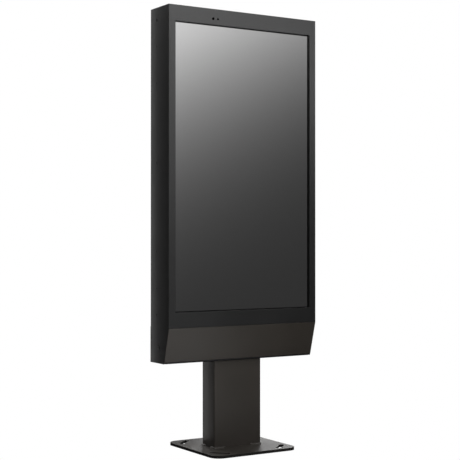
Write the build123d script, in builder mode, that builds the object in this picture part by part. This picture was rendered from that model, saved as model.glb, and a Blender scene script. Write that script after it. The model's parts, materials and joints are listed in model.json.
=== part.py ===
from build123d import *
import os
from math import atan2, cos, degrees, radians, sin, tan

# Outdoor touchscreen kiosk: an upright display head on a column with an anchored base plate.
# Millimetres. +X is to the right seen from the front, +Y to the back, +Z up.
# The origin is the centre of the base plate's underside.

os.makedirs("parts", exist_ok=True)

# ---- Driving dimensions -------------------------------------------------------------

SHEET = 2.0                     # folded housing sheet
CLEAR = 0.05                    # radial clearance of a running fit

# Stand
PLATE_SIDE = 418.0
PLATE_THICK = 12.0
PLATE_CORNER = 45.0
DUCT_HOLE_RADIUS = 40.0
SLOT_RADIUS = 217.0             # of the anchor slots' centreline
SLOT_WIDTH = 22.0
SLOT_HALF_ANGLE = 9.0
COLUMN_WIDTH = 238.0
COLUMN_DEPTH = 104.0
COLUMN_WALL = 5.0
COLUMN_CORNER = 7.0
WELD_LEG = 7.0
WELD_RUN = 55.0                 # length of a weld bead along the column's wide face
WELD_RETURN = 30.0              # and along its narrow face
CAP_THICK = 12.0
BOLT_SPACING_X = 86.0
BOLT_SPACING_Y = 60.0
BOLT_RADIUS = 5.9
BOLT_HOLE_RADIUS = 6.0
BOLT_HEAD_RADIUS = 9.0          # half the width across flats
BOLT_HEAD_HEIGHT = 8.0
WASHER_RADIUS = 12.0
WASHER_THICK = 2.0
CABLE_HOLE_X = 43.0
CABLE_HOLE_RADIUS = 23.0
BUSH_RADIUS = 20.0
BUSH_LIP = 4.0

# Head
HEAD_WIDTH = 747.0
HEAD_DEPTH = 160.0
HEAD_FRONT = -110.0
HEAD_BOTTOM = 388.5
HEAD_TOP = 1884.5
CHIN_TOP = 540.0
CHIN_SLOPE = 41.0               # how far the lower front runs back

# Display: 55 inch, 16:9, upright
ACTIVE_WIDTH = 680.4
ACTIVE_HEIGHT = 1209.6
DISPLAY_Z = 1211.5
OPENING_MARGIN = 1.5
RECESS_DEPTH = 10.0
RECESS_FLANGE = 13.0            # width of the flange behind the recess
BEZEL_FLANGE = 14.0             # depth of the bezel's bottom and side flanges
GASKET_THICK = 1.5
GLASS_THICK = 6.0
TOUCH_THICK = 0.6
MODULE_WIDTH = 703.0
MODULE_HEIGHT = 1232.0
MODULE_DEPTH = 22.0
SENSOR_Z = 1842.5
SENSORS = ((-159.5, 6.0), (-136.5, 4.75))   # x and hole radius

# Chassis
UPRIGHT_X = 310.0
UPRIGHT_SIZE = 40.0
UPRIGHT_WALL = 3.0
UPRIGHT_REAR = -10.0
UPRIGHT_TOP = 1876.0
FOOT_PLATE_THICK = 10.0
CROSSMEMBER_Z = (575.0, 860.0, 1560.0, 1850.0)
CROSSMEMBER_DEPTH = 20.0
CROSSMEMBER_HEIGHT = 40.0
FOOT_PLATE_DEPTH = 92.0
DISPLAY_RAIL_X = 200.0
DISPLAY_RAIL_WIDTH = 40.0
DISPLAY_RAIL_HEIGHT = 840.0
RAIL_LEG_REAR = 14.0
RAIL_LEG_INNER = 300.0          # the side rails' inner edge

# Side screws, as offsets from the display's centre
SIDE_SCREW_OFFSETS = (-621.0, -511.0, -354.0, 20.0, 354.0, 511.0, 621.0)
SCREW_RADIUS = 2.5
SCREW_HOLE_RADIUS = 2.6
SCREW_HEAD_RADIUS = 4.5
SCREW_HEAD_HEIGHT = 1.3

# Rear frame and service door
FRAME_LIP = 25.0                # rear lip, from the side panel inwards
FRAME_STEP = 12.0               # depth of the recess that the door closes
FRAME_STOP = 17.0               # inner lip that the door's gasket lies on
FRAME_BOTTOM = 515.0
FRAME_FLANGE_FRONT = -7.0
DOOR_BOTTOM_OPENING = 565.0
DOOR_GAP = 2.0
DOOR_FLANGE = 7.8
DOOR_GASKET_THICK = 2.0
REAR_HINGE_Z = (700.0, 1211.5, 1723.0)
REAR_HINGE_LENGTH = 60.0
REAR_KNUCKLE = 5.0
REAR_PIN = 2.5
REAR_LEAF = 2.0
REAR_LEAF_WIDTH = 25.0
REAR_LOCK_X = -318.0
REAR_LOCK_OFFSETS = {"upper": 311.0, "lower": -311.0}
VENT_X = 140.0
VENT_Z = (650.0, 1760.0)
VENT_SIDE = 110.0
VENT_SLOT = 3.6
VENT_PITCH = 9.0
FAN_SIDE = 120.0
FAN_DEPTH = 25.0
FILTER_THICK = 5.0
STIFFENER_X = 240.0
COVER_THICK = 2.5

# Chin door hinge and lock
CHIN_KNUCKLE = 4.0
CHIN_PIN = 2.0
CHIN_LEAF = 1.2
CHIN_HINGE_HALF = 364.0
CHIN_HINGE_PARTS = 12
CHIN_LOCK_Y = -19.5
CHIN_LOCK_Z = 455.0

# Cam locks
COLLAR_RADIUS = 9.5
COLLAR_PROUD = 1.3
BARREL_RADIUS = 8.0
PLUG_RADIUS = 5.5
TAIL_RADIUS = 4.0
CAM_THICK = 2.5
CAM_HALF_WIDTH = 8.0

# ---- Derived places -----------------------------------------------------------------

HALF = HEAD_WIDTH / 2
INSIDE = HALF - SHEET           # inner face of the side panels
HEAD_REAR = HEAD_FRONT + HEAD_DEPTH
BEZEL_BACK = HEAD_FRONT + SHEET
OPENING_WIDTH = ACTIVE_WIDTH + 2 * OPENING_MARGIN
OPENING_HEIGHT = ACTIVE_HEIGHT + 2 * OPENING_MARGIN
RECESS_BACK = HEAD_FRONT + RECESS_DEPTH
GLASS_FRONT = RECESS_BACK + GASKET_THICK
GLASS_REAR = GLASS_FRONT + GLASS_THICK
TOUCH_REAR = GLASS_REAR + TOUCH_THICK
MODULE_REAR = TOUCH_REAR + MODULE_DEPTH
UPRIGHT_FRONT = UPRIGHT_REAR - UPRIGHT_SIZE
UPRIGHT_IN = UPRIGHT_X - UPRIGHT_SIZE / 2
UPRIGHT_OUT = UPRIGHT_X + UPRIGHT_SIZE / 2
FLOOR_TOP = HEAD_BOTTOM + SHEET             # top of the head's bottom panel
FOOT_TOP = FLOOR_TOP + FOOT_PLATE_THICK
PANEL_REAR = UPRIGHT_REAR + SHEET           # rear face of the equipment panel
DOOR_OPENING_HALF = INSIDE - FRAME_LIP
DOOR_OPENING_TOP = HEAD_TOP - 2 * SHEET - FRAME_LIP
STOP_REAR = HEAD_REAR - FRAME_STEP + SHEET  # rear face of the inner lip
DOOR_HALF = DOOR_OPENING_HALF - DOOR_GAP
DOOR_BOTTOM = DOOR_BOTTOM_OPENING + DOOR_GAP
DOOR_TOP = DOOR_OPENING_TOP - DOOR_GAP
DOOR_BACK = HEAD_REAR - SHEET               # inner face of the door's sheet
REAR_HINGE_X = DOOR_OPENING_HALF - DOOR_GAP / 2
REAR_HINGE_Y = HEAD_REAR + REAR_KNUCKLE + 0.1

CHIN_TILT = atan2(CHIN_SLOPE, CHIN_TOP - HEAD_BOTTOM)
CHIN_AXIS_Z = HEAD_BOTTOM + CHIN_KNUCKLE


def chin_y(z, depth):
    """y of the sloping front at height z, at a depth behind its outer face."""
    return HEAD_FRONT + (CHIN_TOP - z) * tan(CHIN_TILT) + depth / cos(CHIN_TILT)


CHIN_AXIS_Y = chin_y(CHIN_AXIS_Z, CHIN_KNUCKLE)
# Sketch plane through the chin hinge's axis: X across, Y up the slope, normal outwards.
CHIN_PLANE = Plane(
    origin=(0, CHIN_AXIS_Y, CHIN_AXIS_Z),
    x_dir=(1, 0, 0),
    z_dir=(0, -cos(CHIN_TILT), -sin(CHIN_TILT)),
)
CHIN_FACE = CHIN_KNUCKLE        # outer face above the axis plane
CHIN_INNER = CHIN_FACE - SHEET
CHIN_SHEET_FOOT = 4.2
CHIN_SHEET_TOP = 152.8


def front_plane(y):
    """Sketch plane at y facing the front: sketch X is X, sketch Y is Z, extrusion goes forward."""
    return Plane.XZ.offset(-y)


def both_sides(x, other):
    """Sketch places at x on each side of the centre plane, at the same other coordinate."""
    return [(-x, other), (x, other)]


VENT_PLACES = [(x, z) for x in (-VENT_X, VENT_X) for z in VENT_Z]
SIDE_SCREW_PLACES = [(0, DISPLAY_Z + offset) for offset in SIDE_SCREW_OFFSETS]


# ---- Stand --------------------------------------------------------------------------

with BuildPart() as base_plate:
    with BuildSketch():
        RectangleRounded(PLATE_SIDE, PLATE_SIDE, PLATE_CORNER)
        Circle(DUCT_HOLE_RADIUS, mode=Mode.SUBTRACT)
        for middle in (45, 135, 225, 315):
            slot_line = Edge.make_circle(
                SLOT_RADIUS,
                start_angle=middle - SLOT_HALF_ANGLE,
                end_angle=middle + SLOT_HALF_ANGLE,
            )
            SlotArc(slot_line, SLOT_WIDTH, mode=Mode.SUBTRACT)
    extrude(amount=PLATE_THICK)
    top_face = base_plate.faces().sort_by(Axis.Z)[-1]
    fillet(top_face.outer_wire().edges(), radius=1.0)
base_plate.part.label = "base_plate"
export_step(base_plate.part, "parts/base_plate.step")

with BuildPart() as column_tube:
    with BuildSketch(Plane.XY.offset(PLATE_THICK)):
        RectangleRounded(COLUMN_WIDTH, COLUMN_DEPTH, COLUMN_CORNER)
        RectangleRounded(
            COLUMN_WIDTH - 2 * COLUMN_WALL,
            COLUMN_DEPTH - 2 * COLUMN_WALL,
            COLUMN_CORNER - COLUMN_WALL,
            mode=Mode.SUBTRACT,
        )
    extrude(amount=HEAD_BOTTOM - PLATE_THICK)
column_tube.part.label = "column_tube"
export_step(column_tube.part, "parts/column_tube.step")

# Fillet weld round the foot, kept only at the four corners.
with BuildPart() as foot_welds:
    with BuildSketch(Plane.XY.offset(PLATE_THICK)):
        RectangleRounded(
            COLUMN_WIDTH + 2 * WELD_LEG,
            COLUMN_DEPTH + 2 * WELD_LEG,
            COLUMN_CORNER + WELD_LEG,
        )
    extrude(amount=WELD_LEG - 0.3, taper=45)
    with BuildSketch(Plane.XY.offset(PLATE_THICK)):
        RectangleRounded(COLUMN_WIDTH, COLUMN_DEPTH, COLUMN_CORNER)
        Rectangle(COLUMN_WIDTH - 2 * WELD_RUN, 2 * COLUMN_DEPTH)
        Rectangle(2 * COLUMN_WIDTH, COLUMN_DEPTH - 2 * WELD_RETURN)
    extrude(amount=WELD_LEG, mode=Mode.SUBTRACT)
foot_welds.part.label = "foot_welds"
export_step(foot_welds.part, "parts/foot_welds.step")

with BuildPart() as column_cap_plate:
    with BuildSketch(Plane.XY.offset(HEAD_BOTTOM - CAP_THICK)):
        RectangleRounded(
            COLUMN_WIDTH - 2 * COLUMN_WALL,
            COLUMN_DEPTH - 2 * COLUMN_WALL,
            COLUMN_CORNER - COLUMN_WALL,
        )
        with Locations((-CABLE_HOLE_X, 0), (CABLE_HOLE_X, 0)):
            Circle(CABLE_HOLE_RADIUS, mode=Mode.SUBTRACT)
        with GridLocations(BOLT_SPACING_X, BOLT_SPACING_Y, 3, 2):
            Circle(BOLT_HOLE_RADIUS, mode=Mode.SUBTRACT)
    extrude(amount=CAP_THICK)
column_cap_plate.part.label = "column_cap_plate"
export_step(column_cap_plate.part, "parts/column_cap_plate.step")

with BuildPart() as column_bolts:
    with BuildSketch(Plane.XY.offset(FOOT_TOP)):
        with GridLocations(BOLT_SPACING_X, BOLT_SPACING_Y, 3, 2):
            Circle(WASHER_RADIUS)
    extrude(amount=WASHER_THICK)
    with BuildSketch(Plane.XY.offset(FOOT_TOP + WASHER_THICK)):
        with GridLocations(BOLT_SPACING_X, BOLT_SPACING_Y, 3, 2):
            RegularPolygon(radius=BOLT_HEAD_RADIUS, side_count=6, major_radius=False)
    extrude(amount=BOLT_HEAD_HEIGHT)
    with BuildSketch(Plane.XY.offset(FOOT_TOP)):
        with GridLocations(BOLT_SPACING_X, BOLT_SPACING_Y, 3, 2):
            Circle(BOLT_RADIUS)
    extrude(amount=-(FOOT_TOP - HEAD_BOTTOM + CAP_THICK - 1.0))
column_bolts.part.label = "column_bolts"
export_step(column_bolts.part, "parts/column_bolts.step")

with BuildPart() as cable_bushes:
    with BuildSketch(Plane.XY.offset(HEAD_BOTTOM - CAP_THICK)):
        with Locations((-CABLE_HOLE_X, 0), (CABLE_HOLE_X, 0)):
            Circle(CABLE_HOLE_RADIUS)
            Circle(BUSH_RADIUS, mode=Mode.SUBTRACT)
    extrude(amount=FOOT_TOP - HEAD_BOTTOM + CAP_THICK)
    with BuildSketch(Plane.XY.offset(FOOT_TOP)):
        with Locations((-CABLE_HOLE_X, 0), (CABLE_HOLE_X, 0)):
            Circle(CABLE_HOLE_RADIUS + BUSH_LIP)
            Circle(BUSH_RADIUS, mode=Mode.SUBTRACT)
    extrude(amount=2.5)
cable_bushes.part.label = "cable_bushes"
export_step(cable_bushes.part, "parts/cable_bushes.step")

# ---- Chassis ------------------------------------------------------------------------

with BuildPart() as foot_plate:
    with BuildSketch(Plane.XY.offset(FLOOR_TOP)):
        Rectangle(2 * UPRIGHT_OUT, FOOT_PLATE_DEPTH)
        with Locations((-CABLE_HOLE_X, 0), (CABLE_HOLE_X, 0)):
            Circle(CABLE_HOLE_RADIUS, mode=Mode.SUBTRACT)
        with GridLocations(BOLT_SPACING_X, BOLT_SPACING_Y, 3, 2):
            Circle(BOLT_HOLE_RADIUS, mode=Mode.SUBTRACT)
    extrude(amount=FOOT_PLATE_THICK)
foot_plate.part.label = "foot_plate"
export_step(foot_plate.part, "parts/foot_plate.step")

with BuildPart() as uprights:
    with BuildSketch(Plane.XY.offset(FOOT_TOP)):
        with Locations(*both_sides(UPRIGHT_X, UPRIGHT_REAR - UPRIGHT_SIZE / 2)):
            RectangleRounded(UPRIGHT_SIZE, UPRIGHT_SIZE, 4.0)
            RectangleRounded(
                UPRIGHT_SIZE - 2 * UPRIGHT_WALL,
                UPRIGHT_SIZE - 2 * UPRIGHT_WALL,
                1.5,
                mode=Mode.SUBTRACT,
            )
    extrude(amount=UPRIGHT_TOP - FOOT_TOP)
uprights.part.label = "uprights"
export_step(uprights.part, "parts/uprights.step")

with BuildPart() as crossmembers:
    with BuildSketch(Plane.YZ.offset(-UPRIGHT_IN)):
        with Locations(*[(UPRIGHT_REAR - CROSSMEMBER_DEPTH / 2, z) for z in CROSSMEMBER_Z]):
            RectangleRounded(CROSSMEMBER_DEPTH, CROSSMEMBER_HEIGHT, 3.0)
            RectangleRounded(
                CROSSMEMBER_DEPTH - 2 * SHEET,
                CROSSMEMBER_HEIGHT - 2 * SHEET,
                1.0,
                mode=Mode.SUBTRACT,
            )
    extrude(amount=2 * UPRIGHT_IN)
crossmembers.part.label = "crossmembers"
export_step(crossmembers.part, "parts/crossmembers.step")

# Angles that join the uprights to the rear frame and take the side screws.
with BuildPart() as side_rails:
    with BuildSketch(Plane.XY.offset(CROSSMEMBER_Z[0])):
        for side in (-1, 1):
            with Locations((side * (RAIL_LEG_INNER + INSIDE - SHEET) / 2, PANEL_REAR - SHEET / 2)):
                Rectangle(INSIDE - SHEET - RAIL_LEG_INNER, SHEET)
            with Locations((side * (INSIDE - 1.5 * SHEET), (UPRIGHT_REAR + RAIL_LEG_REAR) / 2)):
                Rectangle(SHEET, RAIL_LEG_REAR - UPRIGHT_REAR)
    extrude(amount=CROSSMEMBER_Z[-1] - CROSSMEMBER_Z[0])
    with BuildSketch(Plane.YZ.offset(-INSIDE)):
        with Locations(*SIDE_SCREW_PLACES):
            Circle(SCREW_HOLE_RADIUS)
    extrude(amount=2 * INSIDE, mode=Mode.SUBTRACT)
side_rails.part.label = "side_rails"
export_step(side_rails.part, "parts/side_rails.step")

with BuildPart() as equipment_panel:
    with BuildSketch(front_plane(PANEL_REAR)):
        with Locations((0, (CROSSMEMBER_Z[1] + CROSSMEMBER_Z[2]) / 2)):
            Rectangle(2 * UPRIGHT_IN - 4.0, CROSSMEMBER_Z[2] - CROSSMEMBER_Z[1] + 30.0)
    extrude(amount=SHEET)
equipment_panel.part.label = "equipment_panel"
export_step(equipment_panel.part, "parts/equipment_panel.step")

# ---- Housing ------------------------------------------------------------------------

with BuildPart() as front_bezel:
    with BuildSketch(front_plane(BEZEL_BACK)):
        with Locations((0, (HEAD_TOP + CHIN_TOP) / 2)):
            Rectangle(HEAD_WIDTH, HEAD_TOP - CHIN_TOP)
        with Locations((0, DISPLAY_Z)):
            Rectangle(OPENING_WIDTH, OPENING_HEIGHT, mode=Mode.SUBTRACT)
        for sensor_x, sensor_radius in SENSORS:
            with Locations((sensor_x, SENSOR_Z)):
                Circle(sensor_radius, mode=Mode.SUBTRACT)
    extrude(amount=SHEET)
    # Recess walls round the screen.
    with BuildSketch(front_plane(RECESS_BACK)):
        with Locations((0, DISPLAY_Z)):
            Rectangle(OPENING_WIDTH + 2 * SHEET, OPENING_HEIGHT + 2 * SHEET)
            Rectangle(OPENING_WIDTH, OPENING_HEIGHT, mode=Mode.SUBTRACT)
    extrude(amount=RECESS_DEPTH - SHEET)
    # Flange behind the recess, which the glass gasket lies on.
    with BuildSketch(front_plane(RECESS_BACK)):
        with Locations((0, DISPLAY_Z)):
            Rectangle(OPENING_WIDTH + 2 * RECESS_FLANGE, OPENING_HEIGHT + 2 * RECESS_FLANGE)
            Rectangle(OPENING_WIDTH, OPENING_HEIGHT, mode=Mode.SUBTRACT)
    extrude(amount=SHEET)
    # Bottom and side flanges.
    with BuildSketch(front_plane(BEZEL_BACK + BEZEL_FLANGE)):
        with Locations((0, CHIN_TOP + SHEET / 2)):
            Rectangle(2 * INSIDE, SHEET)
        with Locations(*both_sides(INSIDE - SHEET / 2, (HEAD_TOP + CHIN_TOP) / 2)):
            Rectangle(SHEET, HEAD_TOP - CHIN_TOP - 10.0)
    extrude(amount=BEZEL_FLANGE)
    outer_face = front_bezel.faces().filter_by(Axis.Y).sort_by(Axis.Y)[0]
    fillet(outer_face.outer_wire().edges(), radius=1.2)
    # The screen opening's edge is rounded too; the sensor holes keep their sharp edges.
    outer_face = front_bezel.faces().filter_by(Axis.Y).sort_by(Axis.Y)[0]
    opening_wire = outer_face.inner_wires().sort_by(SortBy.LENGTH)[-1]
    fillet(opening_wire.edges(), radius=1.0)
front_bezel.part.label = "front_bezel"
export_step(front_bezel.part, "parts/front_bezel.step")

SIDE_OUTLINE = [
    (BEZEL_BACK, HEAD_TOP),
    (HEAD_REAR, HEAD_TOP),
    (HEAD_REAR, HEAD_BOTTOM),
    (chin_y(HEAD_BOTTOM, SHEET + 0.2), HEAD_BOTTOM),
    (BEZEL_BACK, CHIN_TOP + 1.2),
]
for side, name in ((-1, "left_side_panel"), (1, "right_side_panel")):
    with BuildPart() as side_panel:
        with BuildSketch(Plane.YZ.offset(-HALF if side < 0 else INSIDE)):
            with BuildLine():
                Polyline(*SIDE_OUTLINE, close=True)
            make_face()
            with Locations(*SIDE_SCREW_PLACES):
                Circle(SCREW_HOLE_RADIUS, mode=Mode.SUBTRACT)
            if side < 0:
                with Locations((CHIN_LOCK_Y, CHIN_LOCK_Z)):
                    Circle(BARREL_RADIUS + 0.1, mode=Mode.SUBTRACT)
        extrude(amount=SHEET)
        outer = side_panel.faces().filter_by(Axis.X).sort_by(Axis.X)[0 if side < 0 else -1]
        chamfer(outer.outer_wire().edges().sort_by(Axis.Y)[-1], length=0.8)
    side_panel.part.label = name
    export_step(side_panel.part, f"parts/{name}.step")

with BuildPart() as top_panel:
    with BuildSketch(Plane.XY.offset(HEAD_TOP - SHEET)):
        with Locations((0, (BEZEL_BACK + HEAD_REAR) / 2)):
            Rectangle(2 * INSIDE, HEAD_REAR - BEZEL_BACK)
    extrude(amount=SHEET)
top_panel.part.label = "top_panel"
export_step(top_panel.part, "parts/top_panel.step")

COVER_SCREW_ROWS = (HEAD_BOTTOM + 18.0, CHIN_TOP - 13.0)
COVER_SCREW_PLACES = [(x, z) for z in COVER_SCREW_ROWS for x in (-300.0, 0.0, 300.0)]
BOTTOM_FRONT = CHIN_AXIS_Y + CHIN_KNUCKLE + 0.5

with BuildPart() as bottom_panel:
    with BuildSketch(Plane.XY.offset(HEAD_BOTTOM)):
        with Locations((0, (BOTTOM_FRONT + HEAD_REAR) / 2)):
            Rectangle(2 * INSIDE, HEAD_REAR - BOTTOM_FRONT)
        with Locations((-CABLE_HOLE_X, 0), (CABLE_HOLE_X, 0)):
            Circle(CABLE_HOLE_RADIUS, mode=Mode.SUBTRACT)
        with GridLocations(BOLT_SPACING_X, BOLT_SPACING_Y, 3, 2):
            Circle(BOLT_HOLE_RADIUS, mode=Mode.SUBTRACT)
    extrude(amount=SHEET)
    with BuildSketch(front_plane(HEAD_REAR)):
        with Locations((0, HEAD_BOTTOM + 12.0)):
            Rectangle(2 * INSIDE, 24.0)
        with Locations(*COVER_SCREW_PLACES):
            Circle(SCREW_HOLE_RADIUS, mode=Mode.SUBTRACT)
    extrude(amount=SHEET)
bottom_panel.part.label = "bottom_panel"
export_step(bottom_panel.part, "parts/bottom_panel.step")

# Z-section ring that carries the rear door: flange, rear lip, step and inner lip.
DOOR_OPENING_Z = (DOOR_BOTTOM_OPENING + DOOR_OPENING_TOP) / 2
DOOR_OPENING_HEIGHT = DOOR_OPENING_TOP - DOOR_BOTTOM_OPENING
FRAME_TOP = HEAD_TOP - SHEET
FRAME_Z = (FRAME_BOTTOM + FRAME_TOP) / 2
FRAME_HEIGHT = FRAME_TOP - FRAME_BOTTOM

with BuildPart() as rear_frame:
    with BuildSketch(front_plane(HEAD_REAR)):
        with Locations((0, FRAME_Z)):
            Rectangle(2 * INSIDE, FRAME_HEIGHT)
            Rectangle(2 * INSIDE - 2 * SHEET, FRAME_HEIGHT - 2 * SHEET, mode=Mode.SUBTRACT)
    extrude(amount=HEAD_REAR - FRAME_FLANGE_FRONT)
    with BuildSketch(front_plane(HEAD_REAR)):
        with Locations((0, FRAME_Z)):
            Rectangle(2 * INSIDE, FRAME_HEIGHT)
        with Locations((0, DOOR_OPENING_Z)):
            Rectangle(2 * DOOR_OPENING_HALF, DOOR_OPENING_HEIGHT, mode=Mode.SUBTRACT)
    extrude(amount=SHEET)
    with BuildSketch(front_plane(HEAD_REAR)):
        with Locations((0, DOOR_OPENING_Z)):
            Rectangle(2 * (DOOR_OPENING_HALF + SHEET), DOOR_OPENING_HEIGHT + 2 * SHEET)
            Rectangle(2 * DOOR_OPENING_HALF, DOOR_OPENING_HEIGHT, mode=Mode.SUBTRACT)
    extrude(amount=FRAME_STEP)
    with BuildSketch(front_plane(STOP_REAR)):
        with Locations((0, DOOR_OPENING_Z)):
            Rectangle(2 * (DOOR_OPENING_HALF + SHEET), DOOR_OPENING_HEIGHT + 2 * SHEET)
            Rectangle(
                2 * (DOOR_OPENING_HALF - FRAME_STOP),
                DOOR_OPENING_HEIGHT - 2 * FRAME_STOP,
                mode=Mode.SUBTRACT,
            )
    extrude(amount=SHEET)
    with BuildSketch(Plane.YZ.offset(-INSIDE)):
        with Locations(*SIDE_SCREW_PLACES):
            Circle(SCREW_HOLE_RADIUS)
    extrude(amount=2 * INSIDE, mode=Mode.SUBTRACT)
    with BuildSketch(front_plane(HEAD_REAR)):
        with Locations(*COVER_SCREW_PLACES):
            Circle(SCREW_HOLE_RADIUS)
    extrude(amount=SHEET, mode=Mode.SUBTRACT)
rear_frame.part.label = "rear_frame"
export_step(rear_frame.part, "parts/rear_frame.step")

with BuildPart() as lower_rear_cover:
    with BuildSketch(front_plane(HEAD_REAR + COVER_THICK)):
        with Locations((0, (HEAD_BOTTOM + CHIN_TOP) / 2)):
            Rectangle(HEAD_WIDTH, CHIN_TOP - HEAD_BOTTOM)
        with Locations(*COVER_SCREW_PLACES):
            Circle(SCREW_HOLE_RADIUS, mode=Mode.SUBTRACT)
    extrude(amount=COVER_THICK)
    rear_face = lower_rear_cover.faces().filter_by(Axis.Y).sort_by(Axis.Y)[-1]
    fillet(rear_face.outer_wire().edges(), radius=1.0)
lower_rear_cover.part.label = "lower_rear_cover"
export_step(lower_rear_cover.part, "parts/lower_rear_cover.step")

with BuildPart() as side_screws:
    for side in (-1, 1):
        outward = Plane(origin=(side * HALF, 0, DISPLAY_Z), x_dir=(0, 1, 0), z_dir=(side, 0, 0))
        rows = [(0, side * offset) for offset in SIDE_SCREW_OFFSETS]
        with BuildSketch(outward):
            with Locations(*rows):
                Circle(SCREW_HEAD_RADIUS)
        extrude(amount=SCREW_HEAD_HEIGHT)
        with BuildSketch(outward):
            with Locations(*rows):
                Circle(SCREW_RADIUS)
        extrude(amount=-12.0)
        with BuildSketch(outward.offset(SCREW_HEAD_HEIGHT)):
            with Locations(*rows):
                RegularPolygon(radius=1.5, side_count=6)
        extrude(amount=-0.9, mode=Mode.SUBTRACT)
side_screws.part.label = "side_screws"
export_step(side_screws.part, "parts/side_screws.step")

with BuildPart() as cover_screws:
    cover_face = Plane(origin=(0, HEAD_REAR + COVER_THICK, 0), x_dir=(-1, 0, 0), z_dir=(0, 1, 0))
    turned_places = [(-x, z) for x, z in COVER_SCREW_PLACES]
    with BuildSketch(cover_face):
        with Locations(*turned_places):
            Circle(SCREW_HEAD_RADIUS)
    extrude(amount=2.0)
    with BuildSketch(cover_face):
        with Locations(*turned_places):
            Circle(SCREW_RADIUS)
    extrude(amount=-10.0)
    with BuildSketch(cover_face.offset(2.0)):
        with Locations(*turned_places):
            RegularPolygon(radius=1.8, side_count=6)
    extrude(amount=-1.2, mode=Mode.SUBTRACT)
cover_screws.part.label = "cover_screws"
export_step(cover_screws.part, "parts/cover_screws.step")

with BuildPart() as door_gasket:
    with BuildSketch(front_plane(STOP_REAR + DOOR_GASKET_THICK)):
        with Locations((0, DOOR_OPENING_Z)):
            Rectangle(2 * DOOR_OPENING_HALF - 3.0, DOOR_OPENING_HEIGHT - 3.0)
            Rectangle(2 * DOOR_OPENING_HALF - 31.0, DOOR_OPENING_HEIGHT - 31.0, mode=Mode.SUBTRACT)
    extrude(amount=DOOR_GASKET_THICK)
door_gasket.part.label = "door_gasket"
export_step(door_gasket.part, "parts/door_gasket.step")

# ---- Display ------------------------------------------------------------------------

with BuildPart() as glass_gasket:
    with BuildSketch(front_plane(GLASS_FRONT)):
        with Locations((0, DISPLAY_Z)):
            Rectangle(OPENING_WIDTH + 24.0, OPENING_HEIGHT + 24.0)
            Rectangle(OPENING_WIDTH + 1.0, OPENING_HEIGHT + 1.0, mode=Mode.SUBTRACT)
    extrude(amount=GASKET_THICK)
glass_gasket.part.label = "glass_gasket"
export_step(glass_gasket.part, "parts/glass_gasket.step")

GLASS_WIDTH = OPENING_WIDTH + 30.6
GLASS_HEIGHT = OPENING_HEIGHT + 30.0

with BuildPart() as cover_glass:
    with BuildSketch(front_plane(GLASS_REAR)):
        with Locations((0, DISPLAY_Z)):
            RectangleRounded(GLASS_WIDTH, GLASS_HEIGHT, 3.0)
    extrude(amount=GLASS_THICK)
cover_glass.part.label = "cover_glass"
export_step(cover_glass.part, "parts/cover_glass.step")

with BuildPart() as touch_sensor:
    with BuildSketch(front_plane(TOUCH_REAR)):
        with Locations((0, DISPLAY_Z)):
            Rectangle(GLASS_WIDTH - 14.0, GLASS_HEIGHT - 14.0)
    extrude(amount=TOUCH_THICK)
touch_sensor.part.label = "touch_sensor"
export_step(touch_sensor.part, "parts/touch_sensor.step")

# Metal front frame of the display module: a front rim and side walls.
with BuildPart() as lcd_frame:
    with BuildSketch(front_plane(MODULE_REAR - 4.0)):
        with Locations((0, DISPLAY_Z)):
            Rectangle(MODULE_WIDTH, MODULE_HEIGHT)
            Rectangle(MODULE_WIDTH - 3.0, MODULE_HEIGHT - 3.0, mode=Mode.SUBTRACT)
    extrude(amount=MODULE_DEPTH - 4.0)
    with BuildSketch(front_plane(TOUCH_REAR + 1.0)):
        with Locations((0, DISPLAY_Z)):
            Rectangle(MODULE_WIDTH, MODULE_HEIGHT)
            Rectangle(ACTIVE_WIDTH, ACTIVE_HEIGHT, mode=Mode.SUBTRACT)
    extrude(amount=1.0)
lcd_frame.part.label = "lcd_frame"
export_step(lcd_frame.part, "parts/lcd_frame.step")

CELL_FRONT = TOUCH_REAR + 1.0
CELL_THICK = 1.6

with BuildPart() as lcd_cell:
    with BuildSketch(front_plane(CELL_FRONT + CELL_THICK)):
        with Locations((0, DISPLAY_Z)):
            Rectangle(MODULE_WIDTH - 5.0, MODULE_HEIGHT - 5.0)
    extrude(amount=CELL_THICK)
lcd_cell.part.label = "lcd_cell"
export_step(lcd_cell.part, "parts/lcd_cell.step")

with BuildPart() as lcd_backlight:
    with BuildSketch(front_plane(MODULE_REAR)):
        with Locations((0, DISPLAY_Z)):
            Rectangle(MODULE_WIDTH - 5.0, MODULE_HEIGHT - 5.0)
    extrude(amount=MODULE_REAR - CELL_FRONT - CELL_THICK)
    with BuildSketch(front_plane(MODULE_REAR)):
        with Locations((0, DISPLAY_Z)):
            with GridLocations(0, 260.0, 1, 4):
                Rectangle(280.0, 6.0)
    extrude(amount=1.5, mode=Mode.SUBTRACT)
lcd_backlight.part.label = "lcd_backlight"
export_step(lcd_backlight.part, "parts/lcd_backlight.step")

# Two boards on the back of the module: timing control above, lamp drive below.
BOARD_BACK = MODULE_REAR + 5.6
with BuildPart() as lcd_boards:
    for board_z, board_width, board_height in ((1290.0, 260.0, 90.0), (1110.0, 300.0, 140.0)):
        with BuildSketch(front_plane(BOARD_BACK)):
            with Locations((0, board_z)):
                RectangleRounded(board_width, board_height, 3.0)
        extrude(amount=1.6)
        with BuildSketch(front_plane(MODULE_REAR + 4.0)):
            with Locations((0, board_z)):
                with GridLocations(board_width - 16.0, board_height - 16.0, 2, 2):
                    Circle(3.0)
        extrude(amount=4.0)
        with BuildSketch(front_plane(BOARD_BACK + 5.0)):
            with Locations((0, board_z)):
                with GridLocations(80.0, 44.0, 3, 2):
                    Rectangle(30.0, 24.0)
        extrude(amount=5.0)
lcd_boards.part.label = "lcd_boards"
export_step(lcd_boards.part, "parts/lcd_boards.step")

RAIL_FRONT = MODULE_REAR
RAIL_DEPTH = UPRIGHT_REAR - CROSSMEMBER_DEPTH - RAIL_FRONT

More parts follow.
